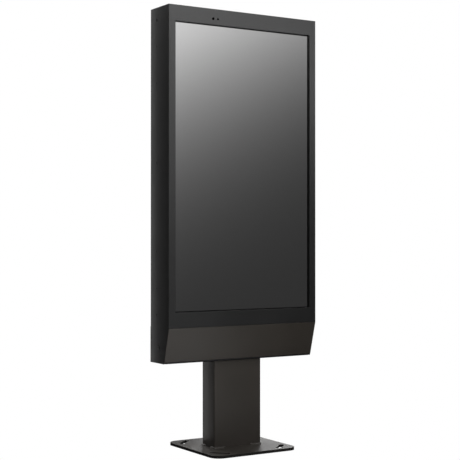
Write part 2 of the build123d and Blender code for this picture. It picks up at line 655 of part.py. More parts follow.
with BuildPart() as display_rails:
    with BuildSketch(Plane.XY.offset(DISPLAY_Z - DISPLAY_RAIL_HEIGHT / 2)):
        with Locations(*both_sides(DISPLAY_RAIL_X, RAIL_FRONT + RAIL_DEPTH / 2)):
            Rectangle(DISPLAY_RAIL_WIDTH, RAIL_DEPTH)
        with Locations(*both_sides(DISPLAY_RAIL_X, RAIL_FRONT + (RAIL_DEPTH + SHEET) / 2)):
            Rectangle(DISPLAY_RAIL_WIDTH - 2 * SHEET, RAIL_DEPTH - SHEET, mode=Mode.SUBTRACT)
    extrude(amount=DISPLAY_RAIL_HEIGHT)
display_rails.part.label = "display_rails"
export_step(display_rails.part, "parts/display_rails.step")

# Z-brackets on the uprights that press the glass against its gasket.
CLAMP_REACH = GLASS_WIDTH / 2 - 1.0
with BuildPart() as glass_clamps:
    for clamp_z in (-510.0, -170.0, 170.0, 510.0):
        with BuildSketch(Plane.XY.offset(DISPLAY_Z + clamp_z - 20.0)):
            for side in (-1, 1):
                with BuildLine():
                    Polyline(
                        (side * UPRIGHT_OUT, UPRIGHT_FRONT + 30.0),
                        (side * UPRIGHT_OUT, MODULE_REAR + 2.0),
                        (side * (CLAMP_REACH - SHEET), MODULE_REAR + 2.0),
                        (side * (CLAMP_REACH - SHEET), GLASS_REAR),
                        (side * CLAMP_REACH, GLASS_REAR),
                        (side * CLAMP_REACH, MODULE_REAR + 4.0),
                        (side * (UPRIGHT_OUT + SHEET), MODULE_REAR + 4.0),
                        (side * (UPRIGHT_OUT + SHEET), UPRIGHT_FRONT + 30.0),
                        close=True,
                    )
                make_face()
        extrude(amount=40.0)
glass_clamps.part.label = "glass_clamps"
export_step(glass_clamps.part, "parts/glass_clamps.step")

with BuildPart() as sensor_windows:
    for sensor_x, sensor_radius in SENSORS:
        with BuildSketch(front_plane(BEZEL_BACK + 1.5)):
            with Locations((sensor_x, SENSOR_Z)):
                Circle(sensor_radius + 2.0)
        extrude(amount=1.5)
        with BuildSketch(front_plane(BEZEL_BACK)):
            with Locations((sensor_x, SENSOR_Z)):
                Circle(sensor_radius - 0.1)
        extrude(amount=SHEET - 0.8)
sensor_windows.part.label = "sensor_windows"
export_step(sensor_windows.part, "parts/sensor_windows.step")

# ---- Electrics ----------------------------------------------------------------------

PSU_X = -222.0
PSU_Z = 1287.5
with BuildPart() as power_supply:
    with BuildSketch(front_plane(PANEL_REAR + 30.0)):
        with Locations((PSU_X, PSU_Z)):
            Rectangle(115.0, 215.0)
    extrude(amount=30.0)
    fillet(power_supply.edges().filter_by(Axis.Z), radius=1.5)
    with BuildSketch(front_plane(PANEL_REAR + 30.0)):
        with Locations((PSU_X, PSU_Z + 20.0)):
            with GridLocations(12.0, 12.0, 7, 11):
                Circle(2.5)
    extrude(amount=1.2, mode=Mode.SUBTRACT)
power_supply.part.label = "power_supply"
export_step(power_supply.part, "parts/power_supply.step")

with BuildPart() as media_player:
    with BuildSketch(front_plane(PANEL_REAR + 36.0)):
        with Locations((0, 1285.0)):
            RectangleRounded(170.0, 170.0, 6.0)
    extrude(amount=36.0)
    # Cooling grooves in the lid, and a row of sockets underneath.
    with BuildSketch(front_plane(PANEL_REAR + 36.0)):
        with Locations((0, 1285.0)):
            with GridLocations(10.0, 0, 14, 1):
                Rectangle(3.0, 150.0)
    extrude(amount=6.0, mode=Mode.SUBTRACT)
    with BuildSketch(Plane.XY.offset(1200.0)):
        with Locations((0, PANEL_REAR + 15.0)):
            with GridLocations(26.0, 0, 5, 1):
                Rectangle(16.0, 9.0)
    extrude(amount=6.0, mode=Mode.SUBTRACT)
media_player.part.label = "media_player"
export_step(media_player.part, "parts/media_player.step")

DIN_Z = 475.0
DIN_DEPTH = 7.5
DIN_FRONT = UPRIGHT_REAR - DIN_DEPTH
with BuildPart() as din_rail:
    with BuildSketch(Plane.YZ.offset(-UPRIGHT_IN)):
        with Locations((UPRIGHT_REAR - 0.5, DIN_Z)):
            Rectangle(1.0, 27.0)
        for wall in (-13.0, 13.0):
            with Locations((UPRIGHT_REAR - DIN_DEPTH / 2, DIN_Z + wall)):
                Rectangle(DIN_DEPTH, 1.0)
        with Locations((DIN_FRONT + 0.5, DIN_Z - 15.0), (DIN_FRONT + 0.5, DIN_Z + 15.0)):
            Rectangle(1.0, 5.0)
    extrude(amount=2 * UPRIGHT_IN)
din_rail.part.label = "din_rail"
export_step(din_rail.part, "parts/din_rail.step")

BREAKER_X = -52.0
BREAKER_FRONT = -72.0
LEVER_Y = BREAKER_FRONT + 2.0
LEVER_RADIUS = 6.0
with BuildPart() as breaker:
    with BuildSketch(Plane.YZ.offset(BREAKER_X - 18.0)):
        with Locations(((DIN_FRONT - 44.0 + DIN_FRONT) / 2, DIN_Z - 2.0)):
            Rectangle(44.0, 82.0)
        with Locations(((BREAKER_FRONT + DIN_FRONT) / 2, DIN_Z - 2.0)):
            Rectangle(DIN_FRONT - BREAKER_FRONT, 45.0)
    extrude(amount=36.0)
    with BuildSketch(Plane.YZ.offset(BREAKER_X - 6.3)):
        with Locations((LEVER_Y, DIN_Z - 2.0)):
            Circle(LEVER_RADIUS + 0.3)
    extrude(amount=12.6, mode=Mode.SUBTRACT)
    with BuildSketch(Plane.YZ.offset(BREAKER_X - 9.0)):
        with Locations((LEVER_Y, DIN_Z - 2.0)):
            Circle(1.0 + CLEAR)
    extrude(amount=18.0, mode=Mode.SUBTRACT)
breaker.part.label = "breaker"
export_step(breaker.part, "parts/breaker.step")

# Its lever points up and forwards when the breaker is on.
LEVER_REST = radians(30)
LEVER_PLANE = Plane(
    origin=(BREAKER_X, LEVER_Y, DIN_Z - 2.0),
    x_dir=(0, -cos(LEVER_REST), sin(LEVER_REST)),
    z_dir=(1, 0, 0),
)
with BuildPart() as breaker_lever:
    with BuildSketch(LEVER_PLANE.offset(-6.0)):
        Circle(LEVER_RADIUS)
        with Locations((LEVER_RADIUS, 0)):
            SlotOverall(14.0, 4.6)
    extrude(amount=12.0)
    with BuildSketch(LEVER_PLANE.offset(-8.8)):
        Circle(1.0)
    extrude(amount=17.6)
breaker_lever.part.label = "breaker_lever"
export_step(breaker_lever.part, "parts/breaker_lever.step")

with BuildPart() as terminal_blocks:
    with BuildSketch(front_plane(DIN_FRONT)):
        with Locations((45.0, DIN_Z)):
            with GridLocations(8.0, 0, 10, 1):
                Rectangle(7.8, 60.0)
    extrude(amount=34.0)
    with BuildSketch(front_plane(DIN_FRONT - 34.0)):
        with Locations((45.0, DIN_Z)):
            with GridLocations(8.0, 40.0, 10, 2):
                Circle(2.0)
    extrude(amount=-3.0, mode=Mode.SUBTRACT)
terminal_blocks.part.label = "terminal_blocks"
export_step(terminal_blocks.part, "parts/terminal_blocks.step")

# Lead from the top of the breaker to the foot of the power supply, held inside the head.
LEAD_RADIUS = 4.0
LEAD_ROUTE = [
    (BREAKER_X, -40.0, DIN_Z + 39.0),
    (BREAKER_X, -40.0, 562.0),
    (-78.0, -43.0, 618.0),
    (-122.0, -38.0, 660.0),
    (-160.0, -20.0, 705.0),
    (-188.0, 0.0, 760.0),
    (-206.0, 9.0, 835.0),
    (-216.0, 11.0, 930.0),
    (PSU_X, 7.0, 1060.0),
    (PSU_X, 7.0, PSU_Z - 107.5),
]


def arc_radii(points):
    """Arc radius at each inner point: 0.45 of its shorter run over the tangent of half its turn."""
    radii = []
    for before, here, after in zip(points, points[1:], points[2:]):
        first = Vector(*here) - Vector(*before)
        second = Vector(*after) - Vector(*here)
        half_turn = radians(first.get_angle(second)) / 2
        radii.append(0.45 * min(first.length, second.length) / tan(half_turn))
    return radii


LEAD_RADII = arc_radii(LEAD_ROUTE)
print("power lead arc radii", [round(radius) for radius in LEAD_RADII])

with BuildPart() as power_lead:
    with BuildLine() as lead_path:
        FilletPolyline(*LEAD_ROUTE, radius=LEAD_RADII)
    lead_start = Plane(origin=LEAD_ROUTE[0], z_dir=lead_path.line % 0)
    with BuildSketch(lead_start):
        Circle(LEAD_RADIUS)
    sweep()
power_lead.part.label = "power_lead"
export_step(power_lead.part, "parts/power_lead.step")

# ---- Rear service door --------------------------------------------------------------

DOOR_Z = (DOOR_BOTTOM + DOOR_TOP) / 2
DOOR_HEIGHT = DOOR_TOP - DOOR_BOTTOM

with BuildPart() as rear_door_panel:
    with BuildSketch(front_plane(HEAD_REAR)):
        with Locations((0, DOOR_Z)):
            Rectangle(2 * DOOR_HALF, DOOR_HEIGHT)
        with Locations(*VENT_PLACES):
            with GridLocations(0, VENT_PITCH, 1, 12):
                SlotOverall(VENT_SIDE, VENT_SLOT, mode=Mode.SUBTRACT)
        for offset in REAR_LOCK_OFFSETS.values():
            with Locations((REAR_LOCK_X, DISPLAY_Z + offset)):
                Circle(BARREL_RADIUS + 0.1, mode=Mode.SUBTRACT)
    extrude(amount=SHEET)
    with BuildSketch(front_plane(HEAD_REAR)):
        with Locations((0, DOOR_Z)):
            Rectangle(2 * DOOR_HALF, DOOR_HEIGHT)
            Rectangle(2 * (DOOR_HALF - SHEET), DOOR_HEIGHT - 2 * SHEET, mode=Mode.SUBTRACT)
    extrude(amount=DOOR_FLANGE)
    door_face = rear_door_panel.faces().filter_by(Axis.Y).sort_by(Axis.Y)[-1]
    fillet(door_face.outer_wire().edges(), radius=1.0)
rear_door_panel.part.label = "rear_door_panel"
export_step(rear_door_panel.part, "parts/rear_door_panel.step")

with BuildPart() as door_stiffeners:
    with BuildSketch(Plane.XY.offset(640.0)):
        with Locations(*both_sides(STIFFENER_X, DOOR_BACK - 5.0)):
            Rectangle(30.0, 10.0)
        with Locations(*both_sides(STIFFENER_X, DOOR_BACK - 4.2)):
            Rectangle(27.0, 8.4, mode=Mode.SUBTRACT)
    extrude(amount=1140.0)
door_stiffeners.part.label = "door_stiffeners"
export_step(door_stiffeners.part, "parts/door_stiffeners.step")

KNUCKLE_LENGTH = REAR_HINGE_LENGTH / 3
LEAF_START = REAR_KNUCKLE + 0.3


def rear_hinge_leaves(side, knuckle_steps):
    """Leaves of the three rear hinges on one side of the pin, with their own knuckles."""
    with BuildPart() as leaves:
        for hinge_z in REAR_HINGE_Z:
            with BuildSketch(front_plane(HEAD_REAR + REAR_LEAF)):
                with Locations((REAR_HINGE_X + side * (LEAF_START + REAR_LEAF_WIDTH) / 2, hinge_z)):
                    Rectangle(REAR_LEAF_WIDTH - LEAF_START, REAR_HINGE_LENGTH)
            extrude(amount=REAR_LEAF)
            for step in knuckle_steps:
                foot = hinge_z + step * KNUCKLE_LENGTH - KNUCKLE_LENGTH / 2 + 0.15
                with BuildSketch(Plane.XY.offset(foot)):
                    with Locations((REAR_HINGE_X, REAR_HINGE_Y)):
                        Circle(REAR_KNUCKLE)
                    with Locations((REAR_HINGE_X + side * LEAF_START / 2, HEAD_REAR + REAR_LEAF / 2)):
                        Rectangle(LEAF_START, REAR_LEAF)
                    with Locations((REAR_HINGE_X, REAR_HINGE_Y)):
                        Circle(REAR_PIN + CLEAR, mode=Mode.SUBTRACT)
                extrude(amount=KNUCKLE_LENGTH - 0.3)
    return leaves


rear_hinge_frame_leaves = rear_hinge_leaves(1, (-1, 1))
rear_hinge_frame_leaves.part.label = "rear_hinge_frame_leaves"
export_step(rear_hinge_frame_leaves.part, "parts/rear_hinge_frame_leaves.step")

rear_hinge_door_leaves = rear_hinge_leaves(-1, (0,))
rear_hinge_door_leaves.part.label = "rear_hinge_door_leaves"
export_step(rear_hinge_door_leaves.part, "parts/rear_hinge_door_leaves.step")

with BuildPart() as rear_hinge_pins:
    for hinge_z in REAR_HINGE_Z:
        for start, radius, length in (
            (-REAR_HINGE_LENGTH / 2, REAR_PIN, REAR_HINGE_LENGTH),
            (-REAR_HINGE_LENGTH / 2 - 1.5, REAR_PIN + 1.5, 1.6),
            (REAR_HINGE_LENGTH / 2 - 0.1, REAR_PIN + 1.5, 1.6),
        ):
            with BuildSketch(Plane.XY.offset(hinge_z + start)):
                with Locations((REAR_HINGE_X, REAR_HINGE_Y)):
                    Circle(radius)
            extrude(amount=length)
rear_hinge_pins.part.label = "rear_hinge_pins"
export_step(rear_hinge_pins.part, "parts/rear_hinge_pins.step")

# Fan frames hang behind the upper vents, inside the door; each has a hub on four spokes.
FAN_Z = VENT_Z[1]
FAN_REAR = DOOR_BACK - FILTER_THICK
FAN_FRONT = FAN_REAR - FAN_DEPTH
HUB_RADIUS = 19.5
FAN_SHAFT_RADIUS = 2.0
with BuildPart() as fan_frames:
    with BuildSketch(front_plane(FAN_REAR)):
        with Locations(*both_sides(VENT_X, FAN_Z)):
            RectangleRounded(FAN_SIDE, FAN_SIDE, 6.0)
            Circle(57.5, mode=Mode.SUBTRACT)
            with GridLocations(105.0, 105.0, 2, 2):
                Circle(2.2, mode=Mode.SUBTRACT)
    extrude(amount=FAN_DEPTH)
    with BuildSketch(front_plane(FAN_FRONT + 3.0)):
        with Locations(*both_sides(VENT_X, FAN_Z)):
            Circle(HUB_RADIUS)
            Rectangle(118.0, 4.0, rotation=45)
            Rectangle(118.0, 4.0, rotation=-45)
            Circle(FAN_SHAFT_RADIUS + CLEAR, mode=Mode.SUBTRACT)
    extrude(amount=3.0)
fan_frames.part.label = "fan_frames"
export_step(fan_frames.part, "parts/fan_frames.step")

BLADES = 7
BLADE_ROOT = 14.0
BLADE_TIP = 55.5
HUB_LENGTH = 19.0
for fan_name, fan_x in (("left_fan_rotor", -VENT_X), ("right_fan_rotor", VENT_X)):
    hub_face = Plane(origin=(fan_x, FAN_FRONT + 4.0, FAN_Z), x_dir=(1, 0, 0), z_dir=(0, -1, 0))
    with BuildPart() as fan_rotor:
        for blade in range(BLADES):
            turn = radians(360 * blade / BLADES)
            outward = Vector(cos(turn), 0, sin(turn))
            root = Vector(fan_x, FAN_FRONT + 4.0 + HUB_LENGTH / 2, FAN_Z) + outward * BLADE_ROOT
            with BuildSketch(Plane(origin=root, x_dir=(0, 1, 0), z_dir=outward)):
                Rectangle(23.0, 2.2, rotation=40)
            extrude(amount=BLADE_TIP - BLADE_ROOT)
        with BuildSketch(hub_face.offset(-HUB_LENGTH)):
            Circle(HUB_RADIUS)
        extrude(amount=HUB_LENGTH)
        with BuildSketch(hub_face.offset(-1.0)):
            Circle(FAN_SHAFT_RADIUS)
        extrude(amount=4.5)
    fan_rotor.part.label = fan_name
    export_step(fan_rotor.part, f"parts/{fan_name}.step")

with BuildPart() as air_filters:
    with BuildSketch(front_plane(DOOR_BACK)):
        with Locations(*VENT_PLACES):
            RectangleRounded(124.0, 124.0, 4.0)
    extrude(amount=FILTER_THICK)
air_filters.part.label = "air_filters"
export_step(air_filters.part, "parts/air_filters.step")

# ---- Cam locks ----------------------------------------------------------------------


def lock_barrel(faces, reach):
    """Fixed bodies of cam locks: a collar outside the panel, and a barrel of this reach behind."""
    with BuildPart() as barrel:
        for face in faces:
            with BuildSketch(face):
                Circle(COLLAR_RADIUS)
                Circle(PLUG_RADIUS + CLEAR, mode=Mode.SUBTRACT)
            extrude(amount=COLLAR_PROUD)
            with BuildSketch(face):
                Circle(BARREL_RADIUS)
                Circle(PLUG_RADIUS + CLEAR, mode=Mode.SUBTRACT)
            extrude(amount=-reach)
            # Nut on the barrel, against the panel's inner face.
            with BuildSketch(face.offset(-SHEET)):
                RegularPolygon(radius=11.0, side_count=6, major_radius=False)
                Circle(BARREL_RADIUS - 0.5, mode=Mode.SUBTRACT)
            extrude(amount=-4.0)
    return barrel


def lock_plug(face, reach):
    """Turning plug of a cam lock, with its keyway and the tail that carries the cam."""
    with BuildPart() as plug:
        with BuildSketch(face.offset(COLLAR_PROUD - 0.3)):
            Circle(PLUG_RADIUS)
        extrude(amount=-(reach + COLLAR_PROUD - 0.3 + 0.4))
        with BuildSketch(face.offset(COLLAR_PROUD - 0.3)):
            Rectangle(6.5, 1.5)
        extrude(amount=-6.0, mode=Mode.SUBTRACT)
        with BuildSketch(face.offset(-reach - 0.4)):
            Circle(TAIL_RADIUS)
        extrude(amount=-(CAM_THICK + 2.0))
    return plug


def lock_cam(face, reach, length):
    """Cam of a cam lock: it points along the face plane's X axis at rest."""
    with BuildPart() as cam:
        with BuildSketch(face.offset(-reach - 0.4)):
            Circle(CAM_HALF_WIDTH)
            with Locations(((length - 3.0) / 2, 0)):
                RectangleRounded(length + 3.0, 2 * CAM_HALF_WIDTH, 2.5)
            Circle(TAIL_RADIUS, mode=Mode.SUBTRACT)
        extrude(amount=-CAM_THICK)
    return cam


REAR_LOCK_REACH = 14.0
REAR_CAM_LENGTH = 24.0
CHIN_LOCK_REACH = 20.0
CHIN_CAM_LENGTH = 34.0

# Each lock's place on its panel; its cam points along the plane's X axis at rest.
REAR_LOCK_FACES = {
    place: Plane(
        origin=(REAR_LOCK_X, HEAD_REAR, DISPLAY_Z + offset),
        x_dir=(0, 0, 1),
        z_dir=(0, 1, 0),
    )
    for place, offset in REAR_LOCK_OFFSETS.items()
}
CHIN_LOCK_FACE = Plane(
    origin=(-HALF, CHIN_LOCK_Y, CHIN_LOCK_Z),
    x_dir=(0, 0, 1),
    z_dir=(-1, 0, 0),
)

rear_lock_barrels = lock_barrel(REAR_LOCK_FACES.values(), REAR_LOCK_REACH)
rear_lock_barrels.part.label = "rear_lock_barrels"
export_step(rear_lock_barrels.part, "parts/rear_lock_barrels.step")

chin_lock_barrel = lock_barrel([CHIN_LOCK_FACE], CHIN_LOCK_REACH)
chin_lock_barrel.part.label = "chin_lock_barrel"
export_step(chin_lock_barrel.part, "parts/chin_lock_barrel.step")

TURNING_LOCKS = [
    ("upper_lock", REAR_LOCK_FACES["upper"], REAR_LOCK_REACH, REAR_CAM_LENGTH),
    ("lower_lock", REAR_LOCK_FACES["lower"], REAR_LOCK_REACH, REAR_CAM_LENGTH),
    ("chin_lock", CHIN_LOCK_FACE, CHIN_LOCK_REACH, CHIN_CAM_LENGTH),
]
for lock_name, lock_face, lock_reach, cam_length in TURNING_LOCKS:
    turning_plug = lock_plug(lock_face, lock_reach)
    turning_plug.part.label = f"{lock_name}_plug"
    export_step(turning_plug.part, f"parts/{lock_name}_plug.step")
    turning_cam = lock_cam(lock_face, lock_reach, cam_length)
    turning_cam.part.label = f"{lock_name}_cam"
    export_step(turning_cam.part, f"parts/{lock_name}_cam.step")

# ---- Chin door ----------------------------------------------------------------------

with BuildPart() as chin_panel:
    with BuildSketch(CHIN_PLANE.offset(CHIN_INNER)):
        with Locations((0, (CHIN_SHEET_FOOT + CHIN_SHEET_TOP) / 2)):
            Rectangle(HEAD_WIDTH, CHIN_SHEET_TOP - CHIN_SHEET_FOOT)
    extrude(amount=SHEET)
    # Stiffening flanges behind the top edge and the two ends.
    with BuildSketch(CHIN_PLANE.offset(CHIN_INNER)):
        with Locations((0, 147.0)):
            Rectangle(2 * INSIDE - 5.0, SHEET)
        with Locations(*both_sides(INSIDE - 3.5, 84.0)):
            Rectangle(SHEET, 124.0)
    extrude(amount=-12.0)
    chin_face = chin_panel.faces().sort_by(Axis(CHIN_PLANE.origin, CHIN_PLANE.z_dir))[-1]
    fillet(chin_face.outer_wire().edges(), radius=1.0)
chin_panel.part.label = "chin_panel"
export_step(chin_panel.part, "parts/chin_panel.step")

CHIN_STEP = 2 * CHIN_HINGE_HALF / CHIN_HINGE_PARTS
CHIN_LEAF_START = CHIN_KNUCKLE + 0.4


def chin_hinge_leaf(leaf_plane, leaf_end, first):
    """One leaf of the continuous hinge, through the pin's axis, with every second knuckle."""
    with BuildPart() as leaf:
        with BuildSketch(leaf_plane.offset(CHIN_INNER - CHIN_LEAF)):
            with Locations((0, (CHIN_LEAF_START + leaf_end) / 2)):
                Rectangle(2 * CHIN_HINGE_HALF, leaf_end - CHIN_LEAF_START)
        extrude(amount=CHIN_LEAF)
        for part in range(first, CHIN_HINGE_PARTS, 2):
            middle = -CHIN_HINGE_HALF + (part + 0.5) * CHIN_STEP
            with BuildSketch(leaf_plane.offset(CHIN_INNER - CHIN_LEAF)):
                with Locations((middle * leaf_plane.x_dir.X, (2.2 + CHIN_LEAF_START) / 2)):
                    Rectangle(CHIN_STEP - 0.3, CHIN_LEAF_START - 2.2)
            extrude(amount=CHIN_LEAF)
            with BuildSketch(Plane.YZ.offset(middle - CHIN_STEP / 2 + 0.15)):
                with Locations((CHIN_AXIS_Y, CHIN_AXIS_Z)):
                    Circle(CHIN_KNUCKLE)
                    Circle(CHIN_PIN + CLEAR, mode=Mode.SUBTRACT)
            extrude(amount=CHIN_STEP - 0.3)
    return leaf


FIXED_LEAF_PLANE = Plane(origin=(0, CHIN_AXIS_Y, CHIN_AXIS_Z), x_dir=(-1, 0, 0), z_dir=(0, 0, -1))

chin_hinge_fixed_leaf = chin_hinge_leaf(FIXED_LEAF_PLANE, 19.0, 0)
chin_hinge_fixed_leaf.part.label = "chin_hinge_fixed_leaf"
export_step(chin_hinge_fixed_leaf.part, "parts/chin_hinge_fixed_leaf.step")

chin_hinge_door_leaf = chin_hinge_leaf(CHIN_PLANE, 16.0, 1)
chin_hinge_door_leaf.part.label = "chin_hinge_door_leaf"
export_step(chin_hinge_door_leaf.part, "parts/chin_hinge_door_leaf.step")

with BuildPart() as chin_hinge_pin:
    with BuildSketch(Plane.YZ.offset(-CHIN_HINGE_HALF - 2.0)):
        with Locations((CHIN_AXIS_Y, CHIN_AXIS_Z)):
            Circle(CHIN_PIN)
    extrude(amount=2 * CHIN_HINGE_HALF + 4.0)
chin_hinge_pin.part.label = "chin_hinge_pin"
export_step(chin_hinge_pin.part, "parts/chin_hinge_pin.step")

# Strap behind the chin panel: the lock's cam swings forwards and down, in front of its upturned lip.
STRAP_INNER = -340.0
STRAP_OUTER = -356.0
LIP_FRONT = CHIN_LOCK_Y + CAM_HALF_WIDTH + 1.0
LIP_REAR = LIP_FRONT + 2.5
with BuildPart() as chin_latch_strap:
    with BuildSketch(Plane.YZ.offset(STRAP_OUTER)):
        with BuildLine():
            Polyline(
                (chin_y(411.0, SHEET), 411.0),
                (LIP_REAR, 411.0),
                (LIP_REAR, 427.0),
                (LIP_FRONT, 427.0),
                (LIP_FRONT, 417.0),
                (-62.0, 417.0),
                (chin_y(440.0, SHEET), 440.0),
                close=True,
            )
        make_face()
    extrude(amount=STRAP_INNER - STRAP_OUTER)
chin_latch_strap.part.label = "chin_latch_strap"
export_step(chin_latch_strap.part, "parts/chin_latch_strap.step")

print("chin hinge axis y z", round(CHIN_AXIS_Y, 3), CHIN_AXIS_Z)
print("rear hinge axis x y", REAR_HINGE_X, REAR_HINGE_Y)
print("chin slope degrees", round(degrees(CHIN_TILT), 3))
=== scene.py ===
"""Looks of the touchscreen kiosk: materials, fine detail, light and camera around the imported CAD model.

Metres, in the CAD model's frame: X right seen from the front, +Y to the back, Z up, the floor at z = 0.
"""
import json
import math

import bmesh
import bpy
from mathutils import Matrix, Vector


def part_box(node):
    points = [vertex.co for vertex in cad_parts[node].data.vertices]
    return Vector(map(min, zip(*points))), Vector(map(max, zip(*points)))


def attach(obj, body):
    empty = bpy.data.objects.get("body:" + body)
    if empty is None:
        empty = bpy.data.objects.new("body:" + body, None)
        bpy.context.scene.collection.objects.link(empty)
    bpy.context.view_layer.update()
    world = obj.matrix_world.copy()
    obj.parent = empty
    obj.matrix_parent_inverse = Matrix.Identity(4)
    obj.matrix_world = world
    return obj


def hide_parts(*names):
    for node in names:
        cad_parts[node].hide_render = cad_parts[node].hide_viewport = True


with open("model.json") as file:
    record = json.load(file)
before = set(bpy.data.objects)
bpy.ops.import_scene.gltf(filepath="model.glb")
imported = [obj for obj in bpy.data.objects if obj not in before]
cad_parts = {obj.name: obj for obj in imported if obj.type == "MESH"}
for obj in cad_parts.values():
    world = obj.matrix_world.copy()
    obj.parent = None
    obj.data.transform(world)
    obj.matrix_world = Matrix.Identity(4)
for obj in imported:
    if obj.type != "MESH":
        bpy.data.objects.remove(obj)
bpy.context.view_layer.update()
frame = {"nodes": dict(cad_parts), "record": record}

NODES = frame["nodes"]
scene = bpy.context.scene
MM = 0.001

# ---------------------------------------------------------------- camera

camera_data = bpy.data.cameras.new("camera")
camera_data.lens = 90.84
camera_data.sensor_width = 36.0
camera = bpy.data.objects.new("camera", camera_data)
camera.location = (-2.6912, -4.3142, 0.9209)
camera.rotation_euler = [math.radians(angle) for angle in (90.32, 0.0, -31.88)]
scene.collection.objects.link(camera)
scene.camera = camera

# ---------------------------------------------------------------- node helpers


class Finish:
    """A node material with one Principled shader, textured in the object's own coordinates."""

    def __init__(self, name, color, roughness, **sockets):
        self.material = bpy.data.materials.new(name)
        self.material.use_nodes = True
        self.tree = self.material.node_tree
        self.shader = self.tree.nodes["Principled BSDF"]
        self.coords = self.tree.nodes.new("ShaderNodeTexCoord").outputs["Object"]
        self.normal = None
        self.put(self.shader.inputs["Base Color"], (*color, 1.0))
        self.put(self.shader.inputs["Roughness"], roughness)
        for socket, value in sockets.items():
            self.put(self.shader.inputs[socket.replace("_", " ")], value)

    def put(self, socket, value):
        """Sets a socket to a value, or links it to another node's output."""
        if isinstance(value, bpy.types.NodeSocket):
            self.tree.links.new(value, socket)
        else:
            socket.default_value = value

    def node(self, kind, inputs=(), **settings):
        """Adds a node with these settings; inputs pairs a socket's name or number with its value."""
        made = self.tree.nodes.new(kind)
        for key, value in settings.items():
            setattr(made, key, value)
        for key, value in dict(inputs).items():
            self.put(made.inputs[key], value)
        return made

    def stretched(self, scale):
        """The object's coordinates, scaled differently along its axes."""
        return self.node("ShaderNodeMapping", {"Vector": self.coords, "Scale": scale}).outputs[0]

    def noise(self, scale, detail=2.0, coords=None, roughness=0.5):
        """Cloudy noise from 0 to 1, with this many features to the metre."""
        inputs = {
            "Vector": coords or self.coords,
            "Scale": scale,
            "Detail": detail,
            "Roughness": roughness,
        }
        return self.node("ShaderNodeTexNoise", inputs).outputs["Fac"]

    def cells(self, scale, output="Distance"):
        """Voronoi cells: the distance to each one's centre, or its own random colour."""
        inputs = {"Vector": self.coords, "Scale": scale}
        return self.node("ShaderNodeTexVoronoi", inputs).outputs[output]

    def grid(self, scale, line):
        """A mask of brick-laid lines in the plane of the front: 1 on the lines, which are this thick."""
        upright = self.node(
            "ShaderNodeMapping", {"Vector": self.coords, "Rotation": (math.radians(90), 0.0, 0.0)}
        ).outputs[0]
        inputs = {"Vector": upright, "Scale": scale, "Mortar Size": line}
        return self.node("ShaderNodeTexBrick", inputs).outputs["Fac"]

    def tones(self, factor, color, dark, light):
        """Mixes between a darker and a lighter share of a colour."""
        return self.mix(factor, [dark * c for c in color], [light * c for c in color])

    def spread(self, value, low, high, start=0.3, end=0.7):
        """Maps a texture's values from start..end to low..high."""
        inputs = {"Value": value, "From Min": start, "From Max": end, "To Min": low, "To Max": high}
        return self.node("ShaderNodeMapRange", inputs).outputs[0]

    def math(self, operation, first, second=0.0):
        """The result of a math node on two values."""
        return self.node("ShaderNodeMath", {0: first, 1: second}, operation=operation).outputs[0]

    def mix(self, factor, first, second):
        """Mixes two linear colours by a factor."""
        mixer = self.node("ShaderNodeMix", {0: factor}, data_type="RGBA")
        for socket, color in ((mixer.inputs[6], first), (mixer.inputs[7], second)):
            self.put(socket, color if isinstance(color, bpy.types.NodeSocket) else (*color, 1.0))
        return mixer.outputs[2]

    def edges(self, radius, noise_scale=160.0):
        """A broken mask, 1 on edges that are rubbed and 0 on flat faces."""
        rounded = self.node("ShaderNodeBevel", {"Radius": radius}, samples=4).outputs[0]
        flat = self.node("ShaderNodeNewGeometry").outputs["Normal"]
        both = {0: rounded, 1: flat}
        turn = self.node("ShaderNodeVectorMath", both, operation="DOT_PRODUCT").outputs["Value"]
        edge = self.spread(turn, 1.0, 0.0, 0.80, 0.985)
        patches = self.spread(self.noise(noise_scale, 4.0), 0.0, 1.0, 0.42, 0.62)
        return self.math("MULTIPLY", edge, patches)

    def soften(self, radius):
        """Shades sharp edges as if they were rounded to this radius."""
        self.normal = self.node("ShaderNodeBevel", {"Radius": radius}, samples=4).outputs[0]

    def color(self, value):
        """Sets or links the base colour."""
        self.put(self.shader.inputs["Base Color"], value)

    def rough(self, value):
        """Sets or links the roughness."""
        self.put(self.shader.inputs["Roughness"], value)

    def bump(self, height, distance, strength=1.0):
        """Adds relief of this depth in metres on top of the bumps already there."""
        inputs = {"Height": height, "Distance": distance, "Strength": strength}
        if self.normal is not None:
            inputs["Normal"] = self.normal
        self.normal = self.node("ShaderNodeBump", inputs).outputs[0]
        self.put(self.shader.inputs["Normal"], self.normal)


# ---------------------------------------------------------------- materials


def powder_coat(name, color, rubbed, roughness, painted_shade_height=None):
    """Fine-textured powder coat: orange peel, faint clouding and lighter rubbed edges.

    Below the given height, in metres, it is darker and duller: painted shade for the dark edge of the base
    plate by the floor.
    """
    finish = Finish(name, color, roughness)
    finish.soften(0.0007)
    cloud = finish.noise(5.0, 5.0, roughness=0.6)
    shade = finish.tones(finish.spread(cloud, 0.0, 1.0), color, 0.90, 1.10)
    wear = finish.edges(0.0012)
    worn = finish.mix(finish.math("MULTIPLY", wear, 0.6), shade, rubbed)
    gloss = finish.spread(cloud, roughness - 0.03, roughness + 0.04)
    if painted_shade_height:
        # Painted shade: the colour below this height is darkened to stand in for the shade at the base
        # plate's edge.
        height = finish.node("ShaderNodeSeparateXYZ", {0: finish.coords}).outputs[2]
        painted_shade_mask = finish.spread(height, 1.0, 0.0, painted_shade_height - 0.0006, painted_shade_height)
        worn = finish.mix(finish.math("MULTIPLY", painted_shade_mask, 0.85), worn, [0.15 * c for c in color])
        gloss = finish.math("ADD", gloss, finish.math("MULTIPLY", painted_shade_mask, 0.35))
    finish.color(worn)
    finish.rough(gloss)
    finish.bump(finish.noise(420.0, 2.0), 0.00005)
    finish.bump(finish.noise(1900.0, 2.0), 0.00003)
    return finish.material


